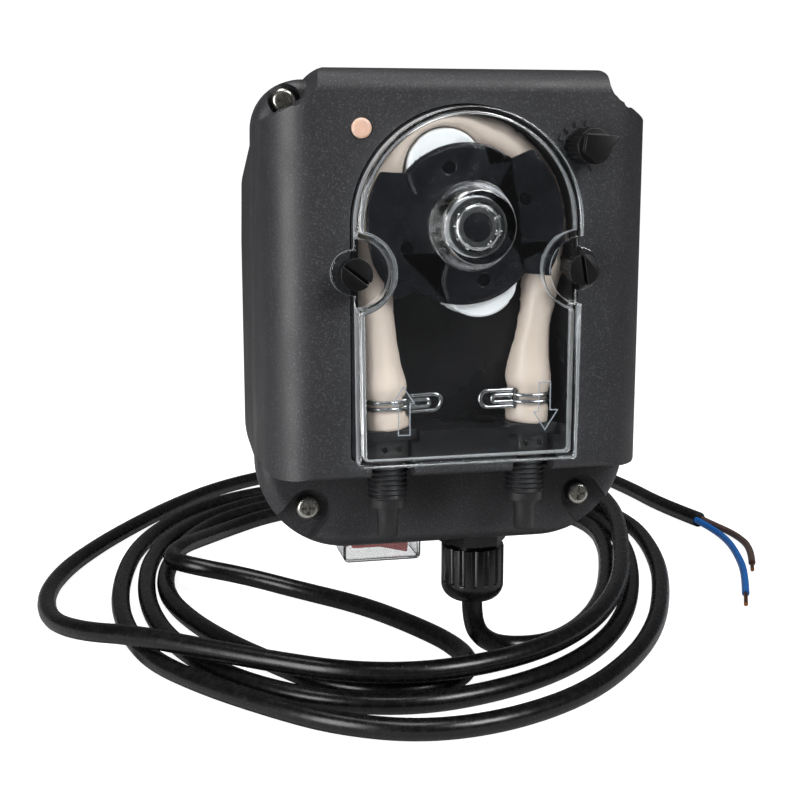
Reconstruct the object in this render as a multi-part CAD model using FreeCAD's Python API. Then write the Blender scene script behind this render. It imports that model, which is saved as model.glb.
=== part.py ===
"""Peristaltic dosing pump for a wall: a black two-part case with a clear-fronted pump head.

A geared motor turns a two-roller rotor that squeezes a beige tube against a round track.
Row frame: X to the right, Y from the front panel back to the wall, Z up, in millimetres.
The origin is the middle of the two wall screws, on the back face of the wall bracket.
"""
import FreeCAD
import Part
import math
import os

V = FreeCAD.Vector

# Case
case_depth = 80.0
block_top = 37.5
block_corner_half = 48.9
case_top = 35.3
case_bottom = -86.0
case_top_half = 49.7
case_side_half = 50.3
case_top_radius = 12.6
case_bottom_radius = 24.0
shoulder_drop = 44.0
case_wall = 2.5
seam_depth = 27.0
gasket_thickness = 1.0
skirt_depth = 17.0
rear_step = 1.2
rear_top_slope = 13.5
rear_draft = 2.0
block_bottom = -63.0
block_corner_radius = 13.0
block_top_radius = 6.0
block_lip_radius = 2.0
block_draft = 3.5
skirt_edge_radius = 4.5

# Wall bracket
bracket_thickness = 3.0
bracket_width = 56.0
bracket_height = 68.0
wall_hole_radius = 2.6
wall_hole_spacing = 54.0
wall_sink_radius = 4.6
wall_sink_depth = 1.6
hub_rise = 24.0
hook_width = 12.0
hook_height = 9.0
hook_depth = 2.0
hook_rise = 13.0
hook_clearance = 0.3

# Casing screws
screw_shank_radius = 1.5
screw_head_radius = 3.1
screw_head_height = 2.4
screw_length = 22.0
screw_recess_radius = 1.0
top_screw = (42.0, 30.0)
bottom_screw = (37.2, -74.6)
pocket_radius = 5.6
top_pocket_radius = 4.2
bite_half = 36.2
bite_floor = 31.5
bite_radius_inner = 5.5
bite_outer = 25.0
bite_edge_radius = 1.3
pocket_depth = 4.0
boss_radius = 4.6
hole_clearance = 0.2

# Pump head
track_radius = 27.2
chamber_bottom = -51.0
chamber_depth = 15.7
cup_wall = 1.6
cup_ledge = 7.5
panel_clearance = 0.3

# Rotor and rollers
roller_radius = 9.5
roller_length = 10.4
roller_orbit = 14.5
roller_bore = 1.6
axle_radius = 1.5
rest_angle = 108.0
plate_thickness = 1.8
plate_front = 0.6
wing_radius = 24.8
waist_radius = 19.8
wing_start = 40.0
wing_end = 118.0
wing_ramp = 8.0
step_height = 0.4
band_half = 9.9
band_waist = 7.4
rotor_core_radius = 4.7
rear_disc_radius = 19.5
back_plate_thickness = 1.9
pin_proud = 0.2
rotor_gap = 0.3
shaft_radius = 3.0
shaft_clearance = 0.05
spigot_radius = 3.45
guide_pin_radius = 1.3
guide_pin_orbit = 15.8
guide_pin_angle = 92.0

# Front ball bearing, 7 x 14 x 5
bearing_outer = 7.0
bearing_bore = 3.5
bearing_width = 5.0
bearing_front = -9.6
race_outer_inside = 5.95
race_inner_outside = 4.55
ball_radius = 1.0
ball_pitch = 5.25
ball_count = 11
ball_clearance = 0.05

# Clear cover
cover_radius = 28.4
cover_bottom_half = 27.9
cover_bottom = -59.0
cover_height = 6.0
cover_wall = 1.6
cover_boss_radius = 10.8
cover_boss_top_radius = 8.9
cover_boss_front = -12.8
cover_boss_relief = 5.2
thumb_x = 28.5
thumb_z = -11.2
bite_radius = 8.4
ear_radius = 5.6
ear_thickness = 2.0
screw_boss_radius = 3.2
screw_boss_depth = 10.0
thumb_head_radius = 3.9
thumb_head_height = 4.4
thumb_shank_radius = 2.0
thumb_shank_length = 10.0
thumb_rib_count = 24
thumb_slot_width = 0.9
thumb_slot_depth = 1.3

# Pump tube, clips and connectors
tube_radius = 4.7
tube_bore = 3.1
tube_foot_radius = 5.5
tube_neck = 4.95
tube_bulge = 5.75
tube_play = 0.1
leg_foot = 18.3
clip_wire = 0.55
clip_pitch = 1.7
clip_z = -44.6
clip_ear_length = 9.0
flange_size = (13.0, 2.6, 10.4)
neck_size = (8.8, 4.8, 9.4)
barb_radius = 3.0
barb_length = 9.0
thread_radius = 5.2
thread_root = 4.6
thread_pitch = 1.3
thread_turns = 8
thread_top = -59.6
thread_foot = -72.0
spigot_top_radius = 3.15
spigot_end_radius = 2.65
spigot_straight = -74.5
spigot_end = -80.0
connector_bore = 1.8

# Speed knob, dial and signal lamp
knob_x = 29.3
knob_z = 18.9
knob_radius = 4.3
knob_height = 8.5
knob_ribs = 28
knob_gap = 0.4
knob_pointer_reach = 6.6
knob_pointer_height = 1.6
knob_pointer_angle = 22.0
spindle_radius = 2.0
pot_depth = 10.1
pot_length = 6.0
pot_radius = 5.0
dial_outer = 6.3
dial_inner = 4.9
dial_height = 0.6
dial_marks = 12
dial_start = -60.0
dial_sweep = 300.0
lamp_x = -26.1
lamp_z = 23.2
lamp_radius = 2.45
lamp_proud = 0.8

# Power switch and cable gland, in the floor of the rear case
floor_depth = 42.0
switch_x = -14.0
switch_length = 22.0
switch_breadth = 15.0
bezel_drop = 3.0
cap_drop = 10.6
cap_wall = 0.8
rocker_length = 16.0
rocker_breadth = 9.0
rocker_tilt = 7.0
rocker_pivot = 1.3
rocker_pin_radius = 0.8
switch_body_height = 16.0
gland_x = 13.8
hex_across = 17.0
hex_drop = 7.8
gland_thread_radius = 6.4
seal_length = 3.4
nut_seat = 4.0
nut_radius = 9.0
nut_length = 16.2
nut_ribs = 16
nut_dome = 5.2
nut_mouth = 4.2
gland_nut_gap = 1.2

# Geared motor and circuit board inside the case
gearbox_half = 21.0
gearbox_length = 16.0
gearbox_wall = 1.6
gear_module = 0.7
wheel_teeth = 48
pinion_teeth = 12
gear_width = 3.4
gear_backlash = 0.06
idler_angle = -90.0
motor_angle = 150.0
motor_radius = 14.5
motor_length = 26.0
motor_wall = 1.2
armature_radius = 11.0
board_size = (66.0, 1.6, 30.0)
board_depth = 73.0
board_z = 4.0
board_post_radius = 2.6
board_post_inset = 4.0

# Mains cord: a two-core round cable, with its stripped end lying loose
cord_radius = 3.0
floor_drop = 132.0
layer_gap = 0.6
core_radius = 1.3
copper_radius = 0.7
bend_share = 0.45

# Places worked out from the sizes above
panel_y = -(case_depth + bracket_thickness)
wall_hole_z = wall_hole_spacing / 2
hub_z = hub_rise
tube_axis = plate_front + plate_thickness + rotor_gap + roller_length / 2
gearbox_start = chamber_depth + cup_wall
back_plate_start = plate_front + plate_thickness + roller_length + 2 * rotor_gap
tube_orbit = track_radius - tube_radius - tube_play
floor_y = panel_y + floor_depth
case_floor = hub_z + case_bottom + rear_step
ground_z = hub_z - floor_drop
nut_end = case_floor - hex_drop - gland_nut_gap - nut_length

bodies_done = []


def at(x, depth, z):
    """A point by its depth behind the front panel and its height over the rotor's axis."""
    return V(x, panel_y + depth, hub_z + z)


def save(name, *solids):
    """Writes one node's solid, or its group of like solids, to its STEP file."""
    shape = solids[0] if len(solids) == 1 else Part.makeCompound(list(solids))
    shape.exportStep("parts/" + name + ".step")
    bodies_done.append((name, shape))


def rod(radius, start, length, axis=V(0, 1, 0)):
    """A round bar from a start point along an axis."""
    return Part.makeCylinder(radius, length, start, axis)


def ring(outer, inner, start, length, axis=V(0, 1, 0)):
    """A plain bush."""
    return rod(outer, start, length, axis).cut(rod(inner, start, length, axis))


def cone(radius_a, radius_b, start, length, axis=V(0, 1, 0)):
    """A tapered bar."""
    return Part.makeCone(radius_a, radius_b, length, start, axis)


def box(centre, size):
    """A block by its middle and its full size."""
    corner = V(centre.x - size[0] / 2, centre.y - size[1] / 2, centre.z - size[2] / 2)
    return Part.makeBox(size[0], size[1], size[2], corner)


def rounded_wire(corners, radii):
    """A closed wire through corner points, each rounded by its own radius."""
    count = len(corners)
    tangents = []
    for i in range(count):
        here = corners[i]
        back = (corners[i - 1] - here).normalize()
        ahead = (corners[(i + 1) % count] - here).normalize()
        half = back.getAngle(ahead) / 2
        reach = radii[i] / math.tan(half)
        middle = (back + ahead).normalize()
        bow = here + middle * (radii[i] / math.sin(half) - radii[i])
        tangents.append((here + back * reach, bow, here + ahead * reach, radii[i]))
    edges = []
    for i in range(count):
        start, bow, end, radius = tangents[i]
        if radius > 0:
            edges.append(Part.Arc(start, bow, end).toShape())
        following = tangents[(i + 1) % count][0]
        if (following - end).Length > 1e-6:
            edges.append(Part.LineSegment(end, following).toShape())
    return Part.Wire(edges)


def front_slab(points, radii, depth_a, depth_b):
    """A plate seen from the front: corners in x and height, between two depths."""
    wire = rounded_wire([at(x, depth_a, z) for x, z in points], radii)
    return Part.Face(wire).extrude(V(0, depth_b - depth_a, 0))


def case_points(inset, low, top_rise=0.0):
    """The case's outline from the front, inset all round, down to a given height."""
    top = case_top - inset - top_rise
    shoulder = case_top - shoulder_drop
    half_top = case_top_half - inset
    half_side = case_side_half - inset
    return [(-half_top, top), (half_top, top), (half_side, shoulder),
            (half_side, low), (-half_side, low), (-half_side, shoulder)]


def case_radii(inset, low_radius):
    """Corner radii that go with case_points."""
    top = case_top_radius - inset
    return [top, top, 30.0, low_radius - inset, low_radius - inset, 30.0]


def block_outline(inset, low):
    """The raised front's outline, with a curved bite out of each top corner for the screws."""
    top = block_top - inset
    drop = 0.61 * inset
    edge = max(bite_edge_radius - inset, 0)
    right = [(bite_half - inset, top), (bite_half + 0.4 - inset, bite_floor - drop),
             (block_corner_half - inset, bite_outer - drop), (case_side_half - inset, case_top - shoulder_drop),
             (case_side_half - inset, low)]
    radii = [edge + 0.7, bite_radius_inner + inset, edge, 30.0, 4.0 + inset]
    left = [(-x, z) for x, z in right]
    return left[::-1] + right, radii[::-1] + radii


def block_form(inset):
    """The raised front of the case, as the overlap of its front, plan and side outlines."""
    low = block_bottom + inset
    points, radii = block_outline(inset, low)
    front = front_slab(points, radii, inset, seam_depth)
    reach = case_side_half + 1.0 - inset
    plan_points = [at(-reach, seam_depth, low), at(-reach + block_draft, inset, low),
                   at(reach - block_draft, inset, low), at(reach, seam_depth, low)]
    corner = block_corner_radius - inset
    plan = Part.Face(rounded_wire(plan_points, [0, corner, corner, 0])).extrude(V(0, 0, block_top - low))
    side_points = [at(-reach, seam_depth, case_top - inset), at(-reach, block_top_radius + 2, block_top - inset),
                   at(-reach, inset, block_top - inset), at(-reach, inset, low), at(-reach, seam_depth, low)]
    side_radii = [0, 3.0, block_top_radius - inset - 0.4, max(block_lip_radius - inset, 0), 0]
    side = Part.Face(rounded_wire(side_points, side_radii)).extrude(V(2 * reach, 0, 0))
    return front.common(plan).common(side)


def skirt_form(inset):
    """The lower front of the case behind the raised block, with its front edge rounded."""
    form = front_slab(case_points(inset, case_bottom + inset), case_radii(inset, case_bottom_radius),
                      skirt_depth + inset, seam_depth)
    front = panel_y + skirt_depth + inset
    edges = [e for e in form.Edges if abs(e.BoundBox.YMin - front) < 1e-3 and abs(e.BoundBox.YMax - front) < 1e-3]
    return form.makeFillet(skirt_edge_radius - inset, edges)


def screw_places():
    """The four casing screws, as (x, height)."""
    places = []
    for x, z in (top_screw, bottom_screw):
        places += [(-x, z), (x, z)]
    return places


def pocket(x, z):
    """The hollow round a casing screw's head, open towards the case's outer corner."""
    if z > 0:
        return rod(top_pocket_radius, at(x, skirt_depth - 4.0, z), pocket_depth + 4.0)
    depth = skirt_depth + pocket_depth
    hollow = rod(pocket_radius, at(x, -1.0, z), depth + 1.0)
    way_out = box(V(0, 0, 0), (3 * pocket_radius, depth + 1.0, 2 * pocket_radius))
    way_out.translate(V(1.5 * pocket_radius, 0, 0))
    way_out.rotate(V(0, 0, 0), V(0, 1, 0), 52)
    if x < 0:
        way_out = way_out.mirror(V(0, 0, 0), V(1, 0, 0))
    way_out.translate(at(x, (depth - 1.0) / 2, z))
    return hollow.fuse(way_out)


def chamber_points(margin, low):
    """Corners of the pump head's lower, straight-sided part."""
    half = track_radius + margin
    return [(-half, 0), (half, 0), (half, low), (-half, low)]


def head_outline(margin, low, depth_a, depth_b, foot_radius=1.0):
    """The arched form of the pump head: a round top on straight sides."""
    lower = front_slab(chamber_points(margin, low), [0, 0, foot_radius, foot_radius], depth_a, depth_b)
    return lower.fuse(rod(track_radius + margin, at(0, depth_a, 0), depth_b - depth_a)).removeSplitter()


def front_shell():
    """Front half of the case, with the raised panel, the pump head's opening and the dial."""
    outer = skirt_form(0).fuse(block_form(0)).removeSplitter()
    inner = skirt_form(case_wall).fuse(block_form(case_wall))
    for x, z in screw_places():
        radius = top_pocket_radius if z > 0 else pocket_radius
        inner = inner.cut(rod(radius + case_wall, at(x, -1, z), seam_depth + 2))
        outer = outer.cut(pocket(x, z))
    shell = outer.cut(inner)
    shell = shell.cut(head_outline(cup_wall + panel_clearance, cover_bottom + 1.0, -1, seam_depth))
    for x, z in screw_places():
        shell = shell.cut(rod(screw_shank_radius + hole_clearance, at(x, 0, z), seam_depth + 1))
    shell = shell.cut(rod(lamp_radius + 0.1, at(lamp_x, -1, lamp_z), 8))
    shell = shell.cut(rod(spindle_radius + hole_clearance, at(knob_x, -1, knob_z), 8))
    for side in (-1, 1):
        shell = shell.cut(rod(screw_boss_radius + panel_clearance, at(side * thumb_x, -1, thumb_z), seam_depth))
        notch = rod(thread_radius + panel_clearance, at(side * leg_foot, tube_axis, block_bottom - 5), 12, V(0, 0, 1))
        way = box(at(side * leg_foot, tube_axis / 2 - 1, block_bottom + 1),
                  (2 * (thread_radius + panel_clearance), tube_axis + 2, 12))
        shell = shell.cut(notch.fuse(way))
    opening = head_outline(cup_wall + panel_clearance, cover_bottom + 1.0, -2, seam_depth)
    return shell.fuse(dial().cut(opening)).removeSplitter()


def dial():
    """The ring of raised marks round the speed knob, moulded on the panel."""
    base = at(knob_x, -dial_height, knob_z)
    marks = []
    for i in range(dial_marks):
        turn = dial_start + i * dial_sweep / (dial_marks - 1)
        width = math.radians(dial_sweep / (dial_marks - 1)) * dial_inner * 0.55
        mark = box(base + V((dial_outer + dial_inner) / 2, dial_height, 0),
                   (dial_outer - dial_inner, 2 * dial_height, width))
        mark.rotate(base, V(0, 1, 0), -turn)
        marks.append(mark)
    rim = ring(dial_inner, dial_inner - 0.5, base + V(0, dial_height / 2, 0), dial_height)
    return rim.fuse(marks)


def rear_form(inset, depth_a, depth_b):
    """The rear case's tapering form between two depths."""
    wires = []
    for depth in (depth_a, depth_b):
        share = (depth - seam_depth) / (case_depth - seam_depth)
        side = rear_step + inset + rear_draft * share
        points = case_points(side, case_bottom + rear_step + inset, rear_top_slope * share)
        wires.append(rounded_wire([at(x, depth, z) for x, z in points],
                                  case_radii(rear_step + inset, case_bottom_radius)))
    return Part.makeLoft(wires, True, True)


def rear_case():
    """Deep rear half of the case, with screw pillars and the floor's two openings."""
    start = seam_depth + gasket_thickness
    shell = rear_form(0, start, case_depth).cut(rear_form(case_wall, start - 1, case_depth - case_wall))
    inside = rear_form(case_wall / 2, start, case_depth - case_wall)
    for x, z in screw_places():
        pillar = rod(boss_radius, at(x, start, z), screw_length).common(inside)
        shell = shell.fuse(pillar)
    for x, z in screw_places():
        shell = shell.cut(rod(screw_shank_radius + hole_clearance, at(x, start - 1, z), screw_length - 2))
    for side_x in (-1, 1):
        for side_z in (-1, 1):
            x = side_x * (board_size[0] / 2 - board_post_inset)
            z = board_z + side_z * (board_size[2] / 2 - board_post_inset)
            start_y = panel_y + board_depth + board_size[1] / 2
            shell = shell.fuse(rod(board_post_radius, V(x, start_y, z), panel_y + case_depth - case_wall / 2 - start_y))
    hole = box(V(switch_x, floor_y, case_floor), (switch_length - 2, switch_breadth - 2, 8))
    shell = shell.cut(hole)
    shell = shell.cut(rod(gland_thread_radius + hole_clearance, V(gland_x, floor_y, case_floor - 2), 8, V(0, 0, 1)))
    for z in (-hook_rise, hook_rise):
        slot = box(V(0, -bracket_thickness - case_wall / 2, z),
                   (hook_width + 2 * hook_clearance, case_wall + 0.4, hook_height + 2 * hook_clearance))
        shell = shell.cut(slot)
    return shell.removeSplitter()


def case_gasket():
    """Flat seal between the two halves of the case."""
    seal = front_slab(case_points(rear_step, case_bottom + rear_step), case_radii(rear_step, case_bottom_radius),
                      seam_depth, seam_depth + gasket_thickness)
    hole = front_slab(case_points(case_wall + 1.0, case_bottom + case_wall + 1.0),
                      case_radii(case_wall + 1.0, case_bottom_radius), seam_depth - 1, seam_depth + 2)
    for x, z in screw_places():
        hole = hole.cut(rod(boss_radius, at(x, seam_depth - 1, z), 3))
    seal = seal.cut(hole)
    for x, z in screw_places():
        seal = seal.cut(rod(screw_shank_radius + hole_clearance, at(x, seam_depth - 1, z), 3))
    return seal


def casing_screw(x, z):
    """Pan-head cross-recess screw from the front pocket into the rear case's pillar."""
    seat = skirt_depth + pocket_depth
    head = rod(screw_head_radius, at(x, seat - screw_head_height, z), screw_head_height)
    front = [e for e in head.Edges if e.BoundBox.YMax < panel_y + seat - screw_head_height + 1e-3]
    head = head.makeFillet(1.2, front)
    shank = rod(screw_shank_radius, at(x, seat, z), screw_length - 1)
    cross = box(at(x, seat - screw_head_height, z), (3.4, 2.4, 0.8))
    cross = cross.fuse(box(at(x, seat - screw_head_height, z), (0.8, 2.4, 3.4)))
    return head.fuse(shank).cut(cross).removeSplitter()


def wall_bracket():
    """Flat bracket that stays on the wall, behind the case; its two hooks carry the case."""
    half_width = bracket_width / 2
    half_height = bracket_height / 2
    points = [(-half_width, half_height), (half_width, half_height), (half_width, -half_height), (-half_width, -half_height)]
    wire = rounded_wire([V(x, -bracket_thickness, z) for x, z in points], [6.0] * 4)
    solid = Part.Face(wire).extrude(V(0, bracket_thickness, 0))
    for z in (-hook_rise, hook_rise):
        solid = solid.fuse(box(V(0, -bracket_thickness - hook_depth / 2, z), (hook_width, hook_depth, hook_height)))
    for z in (-wall_hole_z, wall_hole_z):
        solid = solid.cut(rod(wall_hole_radius, V(0, -bracket_thickness - 1, z), bracket_thickness + 2))
        sink = cone(wall_sink_radius, wall_hole_radius, V(0, -bracket_thickness, z), wall_sink_depth)
        solid = solid.cut(sink)
    return solid.removeSplitter()


def pump_head_cup():
    """Black cup set in the panel: its round wall is the track that the tube is squeezed against."""
    cup = head_outline(cup_wall, cover_bottom + 1.0 + panel_clearance, 0, chamber_depth + cup_wall)
    hollow = head_outline(0, chamber_bottom, -1, chamber_depth)
    cup = cup.cut(hollow)
    cup = cup.cut(rod(shaft_radius + 1.2, at(0, chamber_depth - 1, 0), cup_wall + 2))
    for side in (-1, 1):
        x = side * leg_foot
        flange = flange_size
        seat = box(at(x, tube_axis / 2 - 1, chamber_bottom - flange[1] / 2 + 0.5),
                   (flange[0] + 0.4, tube_axis + flange[2] + 2.4, flange[1] + 1.2))
        neck = box(at(x, tube_axis / 2 - 1, chamber_bottom - 5),
                   (neck_size[0] + 0.4, tube_axis + neck_size[2] + 2.4, 12))
        cup = cup.cut(seat).cut(neck)
        cup = cup.fuse(rod(screw_boss_radius, at(side * thumb_x, 0, thumb_z), screw_boss_depth))
        cup = cup.cut(rod(thumb_shank_radius + hole_clearance, at(side * thumb_x, -1, thumb_z), screw_boss_depth))
    return cup.removeSplitter()


def cover_form(inset, front):
    """The clear cover's raised form: a round top on sides that close in a little."""
    top_half = cover_radius - inset
    points = [(-top_half, 0), (top_half, 0), (cover_bottom_half - inset, cover_bottom + inset),
              (-cover_bottom_half + inset, cover_bottom + inset)]
    foot = 1.2
    form = front_slab(points, [0, 0, foot, foot], front, 0)
    return form.fuse(rod(top_half, at(0, front, 0), -front)).removeSplitter()


def ear_form(side):
    """A cover ear: a round tab at the screw that runs into the cover's side."""
    x = side * thumb_x
    tab = rod(ear_radius, at(x, -ear_thickness, thumb_z), ear_thickness)
    inner = side * (cover_radius - 2)
    wedge = [(inner, thumb_z + 9.0), (x, thumb_z + 5.2), (x + side * 4.6, thumb_z),
             (x, thumb_z - 5.2), (inner, thumb_z - 9.0)]
    if side < 0:
        wedge = wedge[::-1]
    return tab.fuse(front_slab(wedge, [0, 0, 2.0, 0, 0], -ear_thickness, 0)).removeSplitter()


def head_cover():
    """Clear cover of the pump head, with its bearing boss and two screw ears."""
    outer = cover_form(0, -cover_height)
    inner = cover_form(cover_wall, -cover_height + cover_wall)
    boss = cone(cover_boss_top_radius, cover_boss_radius, at(0, cover_boss_front, 0), -cover_height - cover_boss_front + 0.5)
    for side in (-1, 1):
        well = rod(bite_radius, at(side * thumb_x, -cover_height - 1, thumb_z), cover_height + 2)
        wall = rod(bite_radius + cover_wall, at(side * thumb_x, -cover_height - 1, thumb_z), cover_height + 2)
        outer = outer.cut(well)
        inner = inner.cut(wall)
    cover = outer.cut(inner).fuse(boss)
    for side in (-1, 1):
        floor = rod(bite_radius + 0.4, at(side * thumb_x, -ear_thickness, thumb_z), ear_thickness)
        cover = cover.fuse(floor.common(cover_form(0, -cover_height))).fuse(ear_form(side))
    cover = cover.cut(rod(bearing_outer + 0.02, at(0, bearing_front, 0), -cover_height + cover_wall - bearing_front + 0.1))
    relief = cover_boss_front + cover_wall
    cover = cover.cut(rod(cover_boss_relief, at(0, relief, 0), bearing_front - relief + 0.1))
    for side in (-1, 1):
        hole = rod(thumb_shank_radius + hole_clearance, at(side * thumb_x, -ear_thickness - 1, thumb_z), ear_thickness + 2)
        cover = cover.cut(hole)
    return cover.removeSplitter()


def thumb_screw(side, slot_angle):
    """Ribbed and slotted plastic screw that holds the cover, turned by hand or with a coin."""
    x = side * thumb_x
    head_back = -ear_thickness
    head = rod(thumb_head_radius, at(x, head_back - thumb_head_height, thumb_z), thumb_head_height)
    for i in range(thumb_rib_count):
        turn = math.radians(i * 360.0 / thumb_rib_count)
        spot = at(x + thumb_head_radius * math.cos(turn), head_back - thumb_head_height + 0.8,
                  thumb_z + thumb_head_radius * math.sin(turn))
        head = head.cut(rod(0.28, spot, thumb_head_height))
    slot = box(at(x, head_back - thumb_head_height, thumb_z),
               (2 * thumb_head_radius + 2, 2 * thumb_slot_depth, thumb_slot_width))
    slot.rotate(at(x, 0, thumb_z), V(0, 1, 0), slot_angle)
    shank = rod(thumb_shank_radius, at(x, head_back, thumb_z), thumb_shank_length)
    return head.cut(slot).fuse(shank).removeSplitter()


def polar(radius, angle, depth):
    """A point round the rotor's axis; the angle runs anticlockwise from the right, seen from the front."""
    turn = math.radians(angle)
    return at(radius * math.cos(turn), depth, radius * math.sin(turn))


def arc(radius, start, end, depth):
    """An arc edge round the rotor's axis."""
    return Part.Arc(polar(radius, start, depth), polar(radius, (start + end) / 2, depth),
                    polar(radius, end, depth)).toShape()


def rotor_plate(depth_a, depth_b, grow=0.0):
    """The rotor's front plate: two wings that follow the track and a narrower waist over the rollers."""
    edges = []
    wing = wing_radius + grow
    waist = waist_radius + grow
    for half in (0, 180):
        base = rest_angle + half
        edges.append(arc(wing, base + wing_start, base + wing_end, depth_a))
        edges.append(Part.LineSegment(polar(wing, base + wing_end, depth_a),
                                      polar(waist, base + wing_end + wing_ramp, depth_a)).toShape())
        edges.append(arc(waist, base + wing_end + wing_ramp, base + 180 + wing_start - wing_ramp, depth_a))
        edges.append(Part.LineSegment(polar(waist, base + 180 + wing_start - wing_ramp, depth_a),
                                      polar(wing, base + 180 + wing_start, depth_a)).toShape())
    return Part.Face(Part.Wire(edges)).extrude(V(0, depth_b - depth_a, 0))


def band_points():
    """Outline of the raised band over the two rollers, which narrows towards the hub."""
    edge = [(-30.0, band_half), (-11.0, band_half), (-7.0, band_waist), (7.0, band_waist), (11.0, band_half), (30.0, band_half)]
    return edge + [(-x, -z) for x, z in edge]


def rotor_carrier():
    """Moulded rotor: front plate, core and spigot in one piece."""
    plate_back = plate_front + plate_thickness
    body = rotor_plate(plate_front, plate_back)
    body = body.fuse(rod(rotor_core_radius, at(0, plate_back, 0), roller_length + 2 * rotor_gap))
    body = body.fuse(rod(spigot_radius, at(0, bearing_front + 0.3, 0), plate_front - bearing_front - 0.3))
    shoulder = bearing_front + bearing_width
    body = body.fuse(rod(race_inner_outside - 0.2, at(0, shoulder, 0), plate_front - shoulder))
    band = rotor_plate(plate_front - step_height, plate_front, -0.8)
    keep = front_slab(band_points(), [0, 5.0, 5.0, 5.0, 5.0, 0] * 2, plate_front - step_height, plate_front)
    keep.rotate(at(0, 0, 0), V(0, 1, 0), -rest_angle)
    body = body.fuse(band.common(keep))
    for half in (0, 180):
        body = body.cut(rod(axle_radius + 0.05, polar(roller_orbit, rest_angle + half, plate_front - 2), plate_thickness + 4))
        body = body.cut(rod(guide_pin_radius + 0.05, polar(guide_pin_orbit, rest_angle + guide_pin_angle + half, plate_front - 2),
                            plate_thickness + 4))
    bore = rod(shaft_radius + shaft_clearance, at(0, plate_front, 0), roller_length + plate_thickness + 2)
    return body.cut(bore).removeSplitter()


def rotor_back_plate():
    """Rear plate of the rotor, riveted to the carrier by the roller axles and guide pins."""
    start = back_plate_start
    disc = rod(rear_disc_radius, at(0, start, 0), back_plate_thickness)
    for half in (0, 180):
        disc = disc.cut(rod(axle_radius + 0.05, polar(roller_orbit, rest_angle + half, start - 1), 4))
        disc = disc.cut(rod(guide_pin_radius + 0.05, polar(guide_pin_orbit, rest_angle + guide_pin_angle + half, start - 1), 4))
    return disc.cut(rod(shaft_radius + shaft_clearance, at(0, start - 1, 0), 4))


def roller_axle(half):
    """Steel pin on which a roller turns."""
    start = plate_front - pin_proud
    return rod(axle_radius, polar(roller_orbit, rest_angle + half, start), back_plate_start + back_plate_thickness - start)


def roller(half):
    """White plastic roller, rounded at both ends."""
    start = polar(roller_orbit, rest_angle + half, plate_front + plate_thickness + rotor_gap)
    body = rod(roller_radius, start, roller_length)
    body = body.makeFillet(0.8, [e for e in body.Edges if len(e.Vertexes) == 1])
    return body.cut(rod(roller_bore, start, roller_length))


def guide_pin(half):
    """Pin beside each roller that keeps the tube in line."""
    start = plate_front - pin_proud
    place = polar(guide_pin_orbit, rest_angle + guide_pin_angle + half, start)
    return rod(guide_pin_radius, place, back_plate_start + back_plate_thickness - start)


def bearing_race(outer, inner, groove_side):
    """A ball race with its groove."""
    body = ring(outer, inner, at(0, bearing_front, 0), bearing_width)
    groove = Part.makeTorus(ball_pitch, ball_radius + ball_clearance, at(0, bearing_front + bearing_width / 2, 0), V(0, 1, 0))
    return body.cut(groove)


def bearing_balls():
    """The balls, and the crown cage whose fingers hold them apart."""
    middle = bearing_front + bearing_width / 2
    balls = []
    cage = ring(ball_pitch + 0.5, ball_pitch - 0.5, at(0, middle + ball_radius + 0.1, 0), 0.5)
    for i in range(ball_count):
        balls.append(Part.makeSphere(ball_radius, polar(ball_pitch, (i + 0.5) * 360.0 / ball_count, middle)))
        cage = cage.fuse(rod(0.38, polar(ball_pitch, i * 360.0 / ball_count, middle - 0.3), ball_radius + 0.6))
    return balls + [cage.removeSplitter()]


def gear(teeth, centre, depth, turn, width=gear_width):
    """A spur gear with straight-flanked teeth, a little thinner than half the pitch."""
    pitch = gear_module * teeth / 2
    tip = pitch + 0.9 * gear_module
    root = pitch - 1.15 * gear_module
    step = 360.0 / teeth
    share = 0.25 - gear_backlash / (math.pi * gear_module)
    points = []
    for i in range(teeth):
        middle = turn + i * step
        for radius, offset in ((root, -0.40), (pitch, -share), (tip, -0.11), (tip, 0.11), (pitch, share), (root, 0.40)):
            angle = math.radians(middle + offset * step)
            points.append(V(centre[0] + radius * math.cos(angle), panel_y + depth, hub_z + centre[1] + radius * math.sin(angle)))
    wire = Part.makePolygon(points + [points[0]])
    return Part.Face(wire).extrude(V(0, width, 0))


gear_centres = gear_module * (wheel_teeth + pinion_teeth) / 2
idler_place = (gear_centres * math.cos(math.radians(idler_angle)), gear_centres * math.sin(math.radians(idler_angle)))
motor_place = (idler_place[0] + gear_centres * math.cos(math.radians(motor_angle)),
               idler_place[1] + gear_centres * math.sin(math.radians(motor_angle)))


def meshed(place_from, place_to, teeth_to, tooth_angle_from, teeth_from):
    """The turn that puts a tooth gap of the second gear opposite a tooth of the first."""
    line = math.degrees(math.atan2(place_to[1] - place_from[1], place_to[0] - place_from[0]))
    phase = ((line - tooth_angle_from) % (360.0 / teeth_from)) / (360.0 / teeth_from)
    return line + 180 + (0.5 + phase) * 360.0 / teeth_to


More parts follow.
